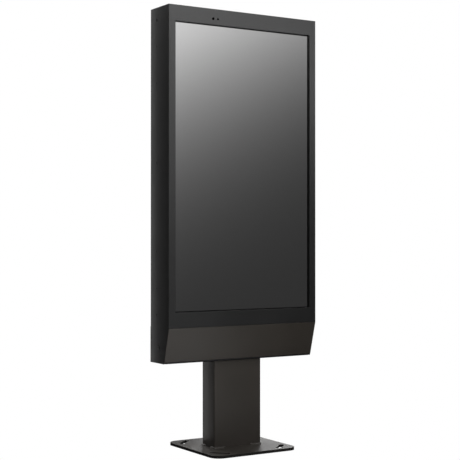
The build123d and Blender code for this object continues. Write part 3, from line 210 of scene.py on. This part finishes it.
def zinc(name, color=(0.42, 0.43, 0.44), roughness=0.38):
    """Galvanised sheet: flat spangles that differ in tone and gloss, and fine rolling marks."""
    finish = Finish(name, color, roughness, Metallic=1.0)
    spangle = finish.node("ShaderNodeSeparateColor", {0: finish.cells(170.0, "Color")}).outputs[0]
    finish.color(finish.tones(spangle, color, 0.90, 1.08))
    finish.rough(finish.spread(spangle, roughness, roughness + 0.06, 0.0, 1.0))
    finish.bump(finish.noise(60.0, 3.0, finish.stretched((1.0, 1.0, 24.0))), 0.00002)
    return finish.material


def brushed(name, color, roughness, stretch=(1.0, 1.0, 40.0)):
    """Bright metal with fine lines across one direction and a slightly uneven gloss."""
    finish = Finish(name, color, roughness, Metallic=1.0)
    lines = finish.noise(180.0, 3.0, finish.stretched(stretch))
    finish.color(finish.tones(lines, color, 0.88, 1.08))
    finish.rough(finish.spread(finish.noise(30.0, 3.0), roughness - 0.06, roughness + 0.08))
    finish.bump(lines, 0.00002)
    return finish.material


def moulded(name, color, roughness, grain=1500.0, depth=0.00003, rubbed=None):
    """Moulded plastic or rubber: spark-eroded grain, slight flow marks and, if given, paler corners."""
    finish = Finish(name, color, roughness)
    flow = finish.noise(18.0, 3.0)
    shade = finish.tones(finish.spread(flow, 0.0, 1.0), color, 0.92, 1.08)
    if rubbed:
        shade = finish.mix(finish.math("MULTIPLY", finish.edges(0.0006, 500.0), 0.5), shade, rubbed)
    finish.color(shade)
    finish.rough(finish.spread(flow, roughness - 0.05, roughness + 0.07))
    finish.bump(finish.noise(grain, 2.0), depth)
    return finish.material


def foam(name):
    """Open-cell filter foam: rounded pores, with painted shade darkening their hollows."""
    finish = Finish(name, (0.02, 0.02, 0.02), 0.95)
    pores = finish.cells(520.0)
    painted_hollow_shade = finish.spread(pores, 0.0, 1.0, 0.1, 0.7)
    # Painted shade: the colour darkens towards the deepest parts of the bump, as shade in the hollows would.
    finish.color(finish.mix(painted_hollow_shade, (0.035, 0.035, 0.036), (0.006, 0.006, 0.006)))
    finish.bump(pores, -0.0009)
    return finish.material


def circuit_board(name):
    """Green solder mask over copper tracks, with bare tinned pads."""
    finish = Finish(name, (0.008, 0.07, 0.03), 0.35)
    tracks = finish.grid(60.0, 0.02)
    pads = finish.spread(finish.cells(260.0), 1.0, 0.0, 0.10, 0.13)
    mask = finish.mix(tracks, (0.006, 0.055, 0.025), (0.012, 0.10, 0.045))
    finish.color(finish.mix(pads, mask, (0.55, 0.55, 0.52)))
    finish.bump(tracks, 0.00005)
    return finish.material


def glass(name, roughness=0.18):
    """Anti-reflective toughened glass: clear, with slight waviness from rolling."""
    finish = Finish(name, (0.982, 0.980, 0.980), roughness, IOR=1.5, Specular_IOR_Level=0.06)
    finish.put(finish.shader.inputs["Transmission Weight"], 1.0)
    finish.bump(finish.noise(3.0, 1.0), 0.00002)
    return finish.material


def film(name):
    """Touch sensor film: all but invisible, with a hint of its conductor mesh."""
    finish = Finish(name, (0.02, 0.02, 0.02), 0.10)
    conductors = finish.grid(220.0, 0.01)
    finish.put(finish.shader.inputs["Alpha"], finish.spread(conductors, 0.01, 0.05, 0.0, 1.0))
    return finish.material


# A painted reflection glowing on the screen, standing in for bright light from the upper left reflected off
# the switched-off display: how fast it fades to the right and down, per metre, the curve of the fade, its
# brightest and darkest levels, and half the size of the glowing area inside the display's black border.
PAINTED_REFLECTION_FADE_ACROSS = 1.33
PAINTED_REFLECTION_FADE_DOWN = 2.58
PAINTED_REFLECTION_FADE_POWER = 1.28
PAINTED_REFLECTION_BRIGHT = 0.69
PAINTED_REFLECTION_DARK = 0.028
PAINTED_REFLECTION_HALF_WIDTH = 339.6 * MM
PAINTED_REFLECTION_HALF_HEIGHT = 603.2 * MM


def screen(name):
    """Display whose emission paints a reflection: a grey glow that fades from its upper left to its lower
    right, standing in for bright light reflected off the switched-off screen.
    """
    finish = Finish(name, (0.004, 0.004, 0.004), 0.25)
    low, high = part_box("lcd_cell")
    x, _, z = finish.node("ShaderNodeSeparateXYZ", {0: finish.coords}).outputs
    across = finish.math("MULTIPLY", finish.math("SUBTRACT", x, low.x), PAINTED_REFLECTION_FADE_ACROSS)
    down = finish.math("MULTIPLY", finish.math("SUBTRACT", high.z, z), PAINTED_REFLECTION_FADE_DOWN)
    distance = finish.math("MAXIMUM", finish.math("ADD", across, down), 0.0)
    way = finish.math("POWER", distance, PAINTED_REFLECTION_FADE_POWER)
    fade = finish.math("POWER", math.e, finish.math("MULTIPLY", way, -1.0))
    reflection_glow = finish.math("ADD", finish.math("MULTIPLY", fade, PAINTED_REFLECTION_BRIGHT), PAINTED_REFLECTION_DARK)
    sideways = finish.math("ABSOLUTE", x)
    upright = finish.math("ABSOLUTE", finish.math("SUBTRACT", z, (low.z + high.z) / 2))
    inside_x = finish.math("LESS_THAN", sideways, PAINTED_REFLECTION_HALF_WIDTH)
    inside_z = finish.math("LESS_THAN", upright, PAINTED_REFLECTION_HALF_HEIGHT)
    reflection_glow = finish.math("MULTIPLY", reflection_glow, finish.math("MULTIPLY", inside_x, inside_z))
    black, white = (0.0, 0.0, 0.0), (1.0, 1.0, 1.0)
    # Painted reflection: this emission stands in for bright light from the upper left reflected off the
    # switched-off screen.
    finish.put(finish.shader.inputs["Emission Color"], finish.mix(reflection_glow, black, white))
    finish.put(finish.shader.inputs["Emission Strength"], 1.0)
    return finish.material


# Top of the base plate's edge: below it the stand's paint carries painted shade.
PLATE_EDGE_TOP = 11.8 * MM

FINISHES = {
    "head_paint": powder_coat("head_paint", (0.0100, 0.0100, 0.0102), (0.045, 0.045, 0.046), 0.42),
    "stand_paint": powder_coat(
        "stand_paint", (0.0370, 0.0315, 0.0260), (0.064, 0.057, 0.051), 0.45, painted_shade_height=PLATE_EDGE_TOP
    ),
    "zinc_steel": zinc("zinc_steel"),
    "module_metal": zinc("module_metal", (0.50, 0.50, 0.50), 0.33),
    "psu_case": zinc("psu_case", (0.55, 0.56, 0.57), 0.30),
    "hinge_steel": brushed("hinge_steel", (0.035, 0.035, 0.036), 0.42, (40.0, 1.0, 1.0)),
    "lock_metal": brushed("lock_metal", (0.12, 0.118, 0.114), 0.30),
    "player_case": brushed("player_case", (0.030, 0.031, 0.033), 0.40),
    "black_screw": moulded("black_screw", (0.012, 0.012, 0.012), 0.34, rubbed=(0.10, 0.10, 0.10)),
    "rubber_black": moulded("rubber_black", (0.010, 0.010, 0.010), 0.75),
    "module_black": moulded("module_black", (0.006, 0.006, 0.006), 0.60),
    "light_grey_plastic": moulded("light_grey_plastic", (0.52, 0.52, 0.50), 0.45),
    "terminal_plastic": moulded("terminal_plastic", (0.30, 0.31, 0.32), 0.50),
    "lever_plastic": moulded("lever_plastic", (0.02, 0.02, 0.022), 0.40, rubbed=(0.10, 0.10, 0.10)),
    "lead_jacket": moulded("lead_jacket", (0.012, 0.012, 0.012), 0.48, grain=700.0),
    "fan_plastic": moulded("fan_plastic", (0.014, 0.014, 0.014), 0.45),
    "sensor_window": moulded("sensor_window", (0.004, 0.004, 0.005), 0.08, grain=60.0, depth=0.00001),
    "filter_foam": foam("filter_foam"),
    "circuit_board": circuit_board("circuit_board"),
    "clear_glass": glass("clear_glass"),
    "touch_film": film("touch_film"),
    "screen": screen("screen"),
}

for part in frame["record"]["subparts"]:
    cad_object = NODES[part["node"]]
    for place in cad_object.material_slots:
        place.material = FINISHES[part["material_slot"]]

# ---------------------------------------------------------------- pieces that replace or refine CAD nodes

SHARP_FROM = math.radians(38)


def add_piece(name, bm, slot, body="kiosk"):
    """Turns a bmesh into a piece that rides on a body and takes its finish from a material slot."""
    bmesh.ops.recalc_face_normals(bm, faces=bm.faces)
    mesh = bpy.data.meshes.new(name)
    bm.to_mesh(mesh)
    bm.free()
    for polygon in mesh.polygons:
        polygon.use_smooth = True
    mesh.set_sharp_from_angle(angle=SHARP_FROM)
    mesh.materials.append(FINISHES[slot])
    piece = bpy.data.objects.new(name, mesh)
    scene.collection.objects.link(piece)
    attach(piece, body)
    return piece


def sweep(bm, sections, closed=False):
    """Skins a tube over equal rings of points, and caps both ends unless it closes on itself."""
    rings = [[bm.verts.new(point) for point in section] for section in sections]
    count = len(rings[0])
    for ring, following in zip(rings, rings[1:] + rings[:1] if closed else rings[1:]):
        for i in range(count):
            j = (i + 1) % count
            bm.faces.new((ring[i], ring[j], following[j], following[i]))
    if not closed:
        bm.faces.new(rings[0])
        bm.faces.new(list(reversed(rings[-1])))


def wire(bm, points, radius, closed=False, sides=10):
    """A round wire along points that lie in a plane of constant y."""
    sections = []
    last = len(points) - 1
    for i, point in enumerate(points):
        before = points[i - 1] if closed or i else point
        after = points[(i + 1) % len(points)] if closed or i < last else point
        across = (after - before).normalized().cross(Vector((0.0, 1.0, 0.0)))
        sections.append([
            point + radius * (math.cos(turn) * across + math.sin(turn) * Vector((0.0, 1.0, 0.0)))
            for turn in (2 * math.pi * k / sides for k in range(sides))
        ])
    sweep(bm, sections, closed)


def rim_radius(radius, style, angle):
    """Radius of a round, hexagonal or cross-shaped outline at an angle."""
    if style == "hex":
        return radius / math.cos(angle % (math.pi / 3) - math.pi / 6)
    if style == "cross":
        return radius * (0.35 + 0.65 * math.cos(2 * angle) ** 4)
    return radius


def lathe(bm, profile, place, axis, segments=24):
    """Turns a profile of (radius, height, outline) around an axis; its first and last radius are 0."""
    turn = Vector(axis).to_track_quat("Z", "Y")
    angles = [2 * math.pi * k / segments for k in range(segments)]
    rings = []
    for radius, height, style in profile:
        ring = [Vector((0.0, 0.0, height))]
        if radius:
            reaches = [rim_radius(radius, style, angle) for angle in angles]
            ring = [
                Vector((reach * math.cos(angle), reach * math.sin(angle), height))
                for reach, angle in zip(reaches, angles)
            ]
        rings.append([bm.verts.new(Vector(place) + turn @ point) for point in ring])
    for ring, following in zip(rings, rings[1:]):
        for i in range(segments):
            j = (i + 1) % segments
            if len(ring) == 1:
                bm.faces.new((ring[0], following[j], following[i]))
            elif len(following) == 1:
                bm.faces.new((ring[i], ring[j], following[0]))
            else:
                bm.faces.new((ring[i], ring[j], following[j], following[i]))


# Fastener heads as (radius, height, outline), in shares of the head's radius and height.
PAN_HEAD = (
    (0.0, -0.3, ""),
    (1.0, -0.3, ""),
    (1.0, 0.35, ""),
    (0.94, 0.68, ""),
    (0.78, 0.90, ""),
    (0.52, 1.0, ""),
    (0.40, 1.0, "drive"),
    (0.36, 0.40, "drive"),
    (0.0, 0.34, ""),
)
RIVET_HEAD = (
    (0.0, -0.3, ""),
    (1.0, -0.3, ""),
    (0.96, 0.25, ""),
    (0.80, 0.65, ""),
    (0.55, 0.90, ""),
    (0.34, 1.0, ""),
    (0.28, 0.70, ""),
    (0.0, 0.62, ""),
)


def heads(name, places, axis, radius, height, slot, body="kiosk", shape=PAN_HEAD, drive="cross"):
    """One piece with a fastener's head at each place, standing off its surface along the axis."""
    bm = bmesh.new()
    for place in places:
        profile = [(radius * r, height * h, drive if style else "") for r, h, style in shape]
        lathe(bm, profile, place, axis)
    return add_piece(name, bm, slot, body)


def slab(bm, low, high, bevel):
    """A rectangular block between two corners, with rounded edges."""
    made = bmesh.ops.create_cube(bm, size=1.0)["verts"]
    for vert in made:
        vert.co = Vector(l + (h - l) * (c + 0.5) for l, h, c in zip(low, high, vert.co))
    edges = {edge for vert in made for edge in vert.link_edges}
    bmesh.ops.bevel(bm, geom=list(edges), offset=bevel, segments=2, affect="EDGES", profile=0.6)


# Each corner's weld: its leg, its runs along the wide and the narrow face, the spacing of its sections and of
# its ripples, and the length of its tapered ends.
WELD_LEG = 7.0 * MM
WELD_RUN = 55.0 * MM
WELD_RETURN = 30.0 * MM
WELD_STEP = 0.5 * MM
WELD_RIPPLE = 2.6 * MM
WELD_TAPER = 6.0 * MM
WELD_ARC_POINTS = 9
COLUMN_CORNER = 7.0 * MM
COLUMN_LOW, COLUMN_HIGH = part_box("column_tube")


def weld_path(sx, sy):
    """Points and outward directions along one corner's bead, from the wide face to the narrow one."""
    half_x, half_y = COLUMN_HIGH.x, COLUMN_HIGH.y
    points = []
    straight = WELD_RUN - COLUMN_CORNER
    for i in range(round(straight / WELD_STEP)):
        points.append((half_x - WELD_RUN + i * WELD_STEP, half_y, 0.0, 1.0))
    turns = round(math.pi / 2 * COLUMN_CORNER / WELD_STEP)
    for i in range(turns):
        angle = math.pi / 2 * (1 - i / turns)
        out_x, out_y = math.cos(angle), math.sin(angle)
        centre_x, centre_y = half_x - COLUMN_CORNER, half_y - COLUMN_CORNER
        points.append((centre_x + COLUMN_CORNER * out_x, centre_y + COLUMN_CORNER * out_y, out_x, out_y))
    straight = WELD_RETURN - COLUMN_CORNER
    for i in range(round(straight / WELD_STEP) + 1):
        points.append((half_x, half_y - COLUMN_CORNER - i * WELD_STEP, 1.0, 0.0))
    return [(sx * x, sy * y, sx * out_x, sy * out_y) for x, y, out_x, out_y in points]


def weld_bead(sx, sy):
    """One corner weld: a convex bead with overlapping ripples and tapered ends."""
    path = weld_path(sx, sy)
    floor_z = COLUMN_LOW.z
    sections = []
    for i, (x, y, out_x, out_y) in enumerate(path):
        along = i * WELD_STEP
        end = min(i, len(path) - 1 - i) * WELD_STEP
        taper = 0.55 + 0.45 * min(1.0, end / WELD_TAPER) ** 0.5
        wander = 1.0 + 0.04 * math.sin(along / (9.0 * MM)) + 0.03 * math.sin(along / (3.7 * MM) + 1.3)
        section = [(x, y, floor_z)]
        for k in range(WELD_ARC_POINTS):
            angle = math.pi / 2 * k / (WELD_ARC_POINTS - 1)
            middle = math.sin(2 * angle)
            lag = along / WELD_RIPPLE - 0.5 * middle
            crest = 1.0 - abs(2.0 * (lag - math.floor(lag)) - 1.0) ** 2.0
            reach = 1.0 / (math.cos(angle) + math.sin(angle))
            size = WELD_LEG * 0.94 * taper * wander * reach * (1.0 + middle * (0.08 + 0.16 * crest))
            across, up = size * math.cos(angle), size * math.sin(angle)
            section.append((x + out_x * across, y + out_y * across, floor_z + up))
        sections.append(section)
    bm = bmesh.new()
    sweep(bm, sections)
    return bm


for corner, (sx, sy) in enumerate(((-1, -1), (1, -1), (1, 1), (-1, 1)), 1):
    bead = add_piece(f"weld_bead_{corner}", weld_bead(sx, sy), "stand_paint")
    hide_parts("foot_welds")

REAR = (0.0, 1.0, 0.0)
FRONT = (0.0, -1.0, 0.0)

# Outside at the back: two screws in each leaf of the three hinges.
HINGE_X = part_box("rear_hinge_pins")[0].x + 4.0 * MM
HINGE_LEAF_BACK = 52.0 * MM
HINGE_HEIGHTS = (700.0 * MM, 1211.5 * MM, 1723.0 * MM)
HINGE_SCREW_REACH = 15.0 * MM
HINGE_SCREW_OFFSET = 19.0 * MM
HINGE_SCREW_HEIGHTS = [z + side * HINGE_SCREW_OFFSET for z in HINGE_HEIGHTS for side in (-1, 1)]
for name, side, body in (("hinge_screws_frame", 1, "kiosk"), ("hinge_screws_door", -1, "rear_door")):
    places = [(HINGE_X + side * HINGE_SCREW_REACH, HINGE_LEAF_BACK, z) for z in HINGE_SCREW_HEIGHTS]
    heads(name, places, REAR, 3.6 * MM, 1.7 * MM, "black_screw", body, drive="hex")

# Inside the rear door: the rivets of its two stiffeners.
STIFFENER_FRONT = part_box("door_stiffeners")[0].y
STIFFENER_X = 240.0 * MM
RIVET_START, RIVET_PITCH, RIVETS_PER_STIFFENER = 660.0 * MM, 220.0 * MM, 6
rivets = [
    (side * STIFFENER_X, STIFFENER_FRONT, RIVET_START + i * RIVET_PITCH)
    for side in (-1, 1)
    for i in range(RIVETS_PER_STIFFENER)
]
heads("stiffener_rivets", rivets, FRONT, 3.2 * MM, 1.3 * MM, "zinc_steel", "rear_door", RIVET_HEAD)

# Inside the rear door: a wire finger guard on each fan, of rings on four spokes that end in screw eyes.
FAN_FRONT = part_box("fan_frames")[0].y
FAN_X, FAN_Z, FAN_FIXING = 140.0 * MM, 1760.0 * MM, 52.5 * MM
GUARD_WIRE = 0.9 * MM
GUARD_RINGS = [radius * MM for radius in (14.0, 24.0, 34.0, 44.0, 54.0)]
GUARD_EYE = 3.4 * MM
SPOKE_START = 12.0 * MM
SPOKE_PARTS = 12
RING_STEPS, EYE_STEPS = 96, 32
DIAGONALS = ((1, 1), (1, -1), (-1, -1), (-1, 1))
forward = Vector(FRONT)
guards = bmesh.new()
for fan_x in (-FAN_X, FAN_X):
    middle = Vector((fan_x, FAN_FRONT, FAN_Z))
    rings = [(middle + 3 * GUARD_WIRE * forward, radius, RING_STEPS) for radius in GUARD_RINGS]
    for sx, sz in DIAGONALS:
        corner = middle + FAN_FIXING * Vector((sx, 0, sz)) + GUARD_WIRE * forward
        rings.append((corner, GUARD_EYE, EYE_STEPS))
        way = Vector((sx, 0, sz)).normalized()
        start = middle + SPOKE_START * way + 1.2 * GUARD_WIRE * forward
        end = corner - GUARD_EYE * way
        wire(guards, [start.lerp(end, i / SPOKE_PARTS) for i in range(SPOKE_PARTS + 1)], GUARD_WIRE)
    for centre, radius, steps in rings:
        turns = [2 * math.pi * i / steps for i in range(steps)]
        loop = [centre + radius * Vector((math.cos(turn), 0.0, math.sin(turn))) for turn in turns]
        wire(guards, loop, GUARD_WIRE, closed=True)
add_piece("fan_guards", guards, "hinge_steel", "rear_door")
fan_fixings = [
    (fan_x + sx * FAN_FIXING, FAN_FRONT - 2 * GUARD_WIRE, FAN_Z + sz * FAN_FIXING)
    for fan_x in (-FAN_X, FAN_X)
    for sx, sz in DIAGONALS
]
heads("fan_screws", fan_fixings, FRONT, 4.2 * MM, 2.2 * MM, "black_screw", "rear_door")

# On the equipment panel: its own screws and the power supply's lid screws.
PANEL_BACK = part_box("equipment_panel")[1].y
PANEL_SCREW_X = [x * MM for x in (-265.0, -130.0, 0.0, 130.0, 265.0)]
PANEL_SCREW_Z = (860.0 * MM, 1560.0 * MM)
panel_screws = [(x, PANEL_BACK, z) for x in PANEL_SCREW_X for z in PANEL_SCREW_Z]
heads("panel_screws", panel_screws, REAR, 4.6 * MM, 2.6 * MM, "zinc_steel")
PSU_LOW, PSU_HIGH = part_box("power_supply")
PSU_EDGE = 7.0 * MM
psu_screws = [
    (x, PSU_HIGH.y, z)
    for x in (PSU_LOW.x + PSU_EDGE, PSU_HIGH.x - PSU_EDGE)
    for z in (PSU_LOW.z + PSU_EDGE, PSU_HIGH.z - PSU_EDGE)
]
heads("psu_screws", psu_screws, REAR, 2.8 * MM, 1.4 * MM, "zinc_steel")

# On the equipment panel: four ears that hold the player, each set slightly into its case, and their screws.
PLAYER_LOW, PLAYER_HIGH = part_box("media_player")
EAR_REACH, EAR_HALF, EAR_THICK = 20.0 * MM, 16.0 * MM, 2.5 * MM
EAR_FROM_END = 35.0 * MM
EAR_SUNK = 1.0 * MM
ears = bmesh.new()
ear_screws = []
for edge, side in ((PLAYER_LOW.x, -1), (PLAYER_HIGH.x, 1)):
    for z in (PLAYER_LOW.z + EAR_FROM_END, PLAYER_HIGH.z - EAR_FROM_END):
        across = sorted((edge - side * EAR_SUNK, edge + side * EAR_REACH))
        low_corner = (across[0], PANEL_BACK, z - EAR_HALF)
        high_corner = (across[1], PANEL_BACK + EAR_THICK, z + EAR_HALF)
        slab(ears, low_corner, high_corner, 0.8 * MM)
        ear_screws.append((edge + side * 0.55 * EAR_REACH, PANEL_BACK + EAR_THICK, z))
add_piece("player_ears", ears, "player_case")
heads("player_screws", ear_screws, REAR, 4.0 * MM, 2.2 * MM, "black_screw")

# In the lower compartment: terminal screws in their wells, and the breaker's screws.
BLOCK_LOW, BLOCK_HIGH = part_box("terminal_blocks")
TERMINALS, TERMINAL_START, TERMINAL_PITCH = 10, 9.0 * MM, 8.0 * MM
WELL_DEPTH = 2.6 * MM
WELL_OFFSET = 20.0 * MM
block_middle = (BLOCK_LOW.z + BLOCK_HIGH.z) / 2
wells = [
    (TERMINAL_START + i * TERMINAL_PITCH, BLOCK_LOW.y + WELL_DEPTH, block_middle + side * WELL_OFFSET)
    for i in range(TERMINALS)
    for side in (-1, 1)
]
heads("terminal_screws", wells, FRONT, 1.8 * MM, 1.2 * MM, "zinc_steel")
BREAKER_LOW, BREAKER_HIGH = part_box("breaker")
BREAKER_SHOULDER = 44.0 * MM
BREAKER_SCREW_X = 9.0 * MM
BREAKER_EDGE = 9.0 * MM
breaker_middle = (BREAKER_LOW.x + BREAKER_HIGH.x) / 2
breaker_screws = [
    (breaker_middle + side * BREAKER_SCREW_X, BREAKER_HIGH.y - BREAKER_SHOULDER, z)
    for side in (-1, 1)
    for z in (BREAKER_LOW.z + BREAKER_EDGE, BREAKER_HIGH.z - BREAKER_EDGE)
]
heads("breaker_screws", breaker_screws, FRONT, 3.2 * MM, 1.2 * MM, "zinc_steel")

# The internal lead from the breaker up to the power supply, with a ribbed boot at each end.
LEAD_ROUTE = [Vector(point) * MM for point in (
    (-52.0, -40.0, 514.0),
    (-52.0, -40.0, 562.0),
    (-78.0, -43.0, 618.0),
    (-122.0, -38.0, 660.0),
    (-160.0, -20.0, 705.0),
    (-188.0, 0.0, 760.0),
    (-206.0, 9.0, 835.0),
    (-216.0, 11.0, 930.0),
    (-222.0, 7.0, 1060.0),
    (-222.0, 7.0, 1180.0),
)]
LEAD_RADIUS = 4.0 * MM
lead_curve = bpy.data.curves.new("lead", "CURVE")
lead_curve.dimensions = "3D"
lead_curve.bevel_depth = LEAD_RADIUS
lead_curve.bevel_resolution = 6
lead_curve.resolution_u = 16
lead_curve.use_fill_caps = True
lead_line = lead_curve.splines.new("NURBS")
lead_line.points.add(len(LEAD_ROUTE) - 1)
for point, place in zip(lead_line.points, LEAD_ROUTE):
    point.co = (*place, 1.0)
lead_line.order_u = 3
lead_line.use_endpoint_u = True
lead_curve.materials.append(FINISHES["lead_jacket"])
lead = bpy.data.objects.new("lead", lead_curve)
scene.collection.objects.link(lead)
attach(lead, "kiosk")
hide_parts("power_lead")

# A boot's outline as (radius, height) in millimetres from the lead's end: collar, two ribs and tapered tail.
BOOT = (
    (0.0, -1.0), (7.5, -1.0), (7.5, 3.0),
    (6.8, 4.0), (6.6, 7.0), (5.6, 7.6), (5.6, 9.4),
    (6.2, 10.0), (6.0, 13.0), (5.2, 13.6), (5.2, 15.4),
    (5.6, 16.0), (5.3, 22.0), (4.4, 24.0), (0.0, 24.0),
)
BOOT_SEGMENTS = 32
boots = bmesh.new()
for end, direction in ((LEAD_ROUTE[0], (0.0, 0.0, 1.0)), (LEAD_ROUTE[-1], (0.0, 0.0, -1.0))):
    lathe(boots, [(radius * MM, height * MM, "") for radius, height in BOOT], end, direction, BOOT_SEGMENTS)
add_piece("lead_boots", boots, "rubber_black")

# ---------------------------------------------------------------- floor, backdrop light and lamps


def emitter(name, color, strength):
    """A material that only shines."""
    material = bpy.data.materials.new(name)
    material.use_nodes = True
    tree = material.node_tree
    tree.nodes.clear()
    shine = tree.nodes.new("ShaderNodeEmission")
    shine.inputs["Color"].default_value = (*color, 1.0)
    shine.inputs["Strength"].default_value = strength
    tree.links.new(shine.outputs[0], tree.nodes.new("ShaderNodeOutputMaterial").inputs["Surface"])
    return material


FLOOR_HALF = 60.0
floor_mesh = bpy.data.meshes.new("floor")
corners = [(sx * FLOOR_HALF, sy * FLOOR_HALF, 0.0) for sx, sy in ((-1, -1), (1, -1), (1, 1), (-1, 1))]
floor_mesh.from_pydata(corners, [], [(0, 1, 2, 3)])
floor_mesh.materials.append(emitter("white_floor", (1.0, 1.0, 1.0), 1.0))
floor = bpy.data.objects.new("floor", floor_mesh)
floor.visible_diffuse = False
floor.visible_glossy = False
floor.visible_transmission = False
floor.visible_shadow = False
scene.collection.objects.link(floor)

WORLD_FILL = 0.03
world = bpy.data.worlds.new("studio")
scene.world = world
world.use_nodes = True
tree = world.node_tree
tree.nodes.clear()
shown = tree.nodes.new("ShaderNodeBackground")
lighting = tree.nodes.new("ShaderNodeBackground")
lighting.inputs["Color"].default_value = (1.0, 0.99, 0.97, 1.0)
lighting.inputs["Strength"].default_value = WORLD_FILL
shown.inputs["Color"].default_value = (1.0, 1.0, 1.0, 1.0)
chooser = tree.nodes.new("ShaderNodeMixShader")
tree.links.new(tree.nodes.new("ShaderNodeLightPath").outputs["Is Camera Ray"], chooser.inputs[0])
tree.links.new(lighting.outputs[0], chooser.inputs[1])
tree.links.new(shown.outputs[0], chooser.inputs[2])
tree.links.new(chooser.outputs[0], tree.nodes.new("ShaderNodeOutputWorld").inputs["Surface"])
scene.view_settings.view_transform = "Standard"

# No lamp glares on the coated glass of the display and the sensor windows, or on the parts behind it.
glare_free = bpy.data.collections.new("glare_free")
for member in ("cover_glass", "lcd_cell", "touch_sensor", "sensor_windows", "lcd_frame"):
    glare_free.objects.link(NODES[member])
for entry in glare_free.collection_objects:
    entry.light_linking.link_state = "EXCLUDE"


def lamp(name, at, towards, size, power):
    """A soft rectangular lamp that isn't itself seen; size in metres, power in watts."""
    data = bpy.data.lights.new(name, "AREA")
    data.shape = "RECTANGLE"
    data.size, data.size_y = size
    data.energy = power
    light = bpy.data.objects.new(name, data)
    light.location = at
    light.rotation_euler = (Vector(towards) - Vector(at)).to_track_quat("-Z", "Y").to_euler()
    light.visible_camera = False
    light.light_linking.receiver_collection = glare_free
    scene.collection.objects.link(light)


# Soft boxes in front and behind, the pale floor's bounce, then slim lamps that graze the left side's edges.
lamp("front", (0.0, -3.4, 1.6), (0.0, 0.0, 1.2), (1.8, 1.8), 33.4)
lamp("front_right", (1.2, -1.8, 2.0), (0.1, -0.1, 1.4), (1.0, 1.0), 9.8)
lamp("upper_front", (-0.1, -1.0, 2.45), (0.0, -0.1, 1.7), (1.2, 0.5), 9.4)
lamp("upper_left", (-0.5, -1.0, 2.45), (-0.3, -0.1, 1.7), (0.6, 0.5), 5.0)
lamp("back_right", (1.90, 2.15, 0.5), (0.0, 0.0, 0.2), (1.35, 0.8), 10.8)
lamp("floor_front", (-0.12, -0.88, 0.02), (-0.12, -0.87, 1.0), (0.9, 0.7), 4.0)
lamp("edge", (-0.400, 0.085, 1.13), (-0.36, 0.02, 1.13), (0.015, 1.7), 0.112)
lamp("column_edge", (-0.150, 0.075, 0.21), (-0.12, 0.03, 0.21), (0.008, 0.36), 0.025)
lamp("column_side", (-0.165, 0.110, 0.21), (-0.12, 0.02, 0.21), (0.02, 0.36), 0.004)
# Fill for the faces that the camera doesn't see.
lamp("left", (-3.2, 0.1, 1.3), (0.0, 0.0, 1.1), (1.8, 2.2), 11.0)
lamp("right", (3.2, 0.8, 1.3), (0.0, 0.0, 1.1), (2.0, 2.0), 30.0)
lamp("rear", (0.3, 3.8, 1.8), (0.0, 0.0, 1.2), (1.6, 1.6), 16.0)
lamp("back", (0.0, 2.8, 3.3), (0.0, 0.0, 1.2), (2.0, 1.2), 50.0)
lamp("top", (0.0, 0.6, 3.8), (0.0, 0.2, 1.8), (2.4, 1.6), 14.0)
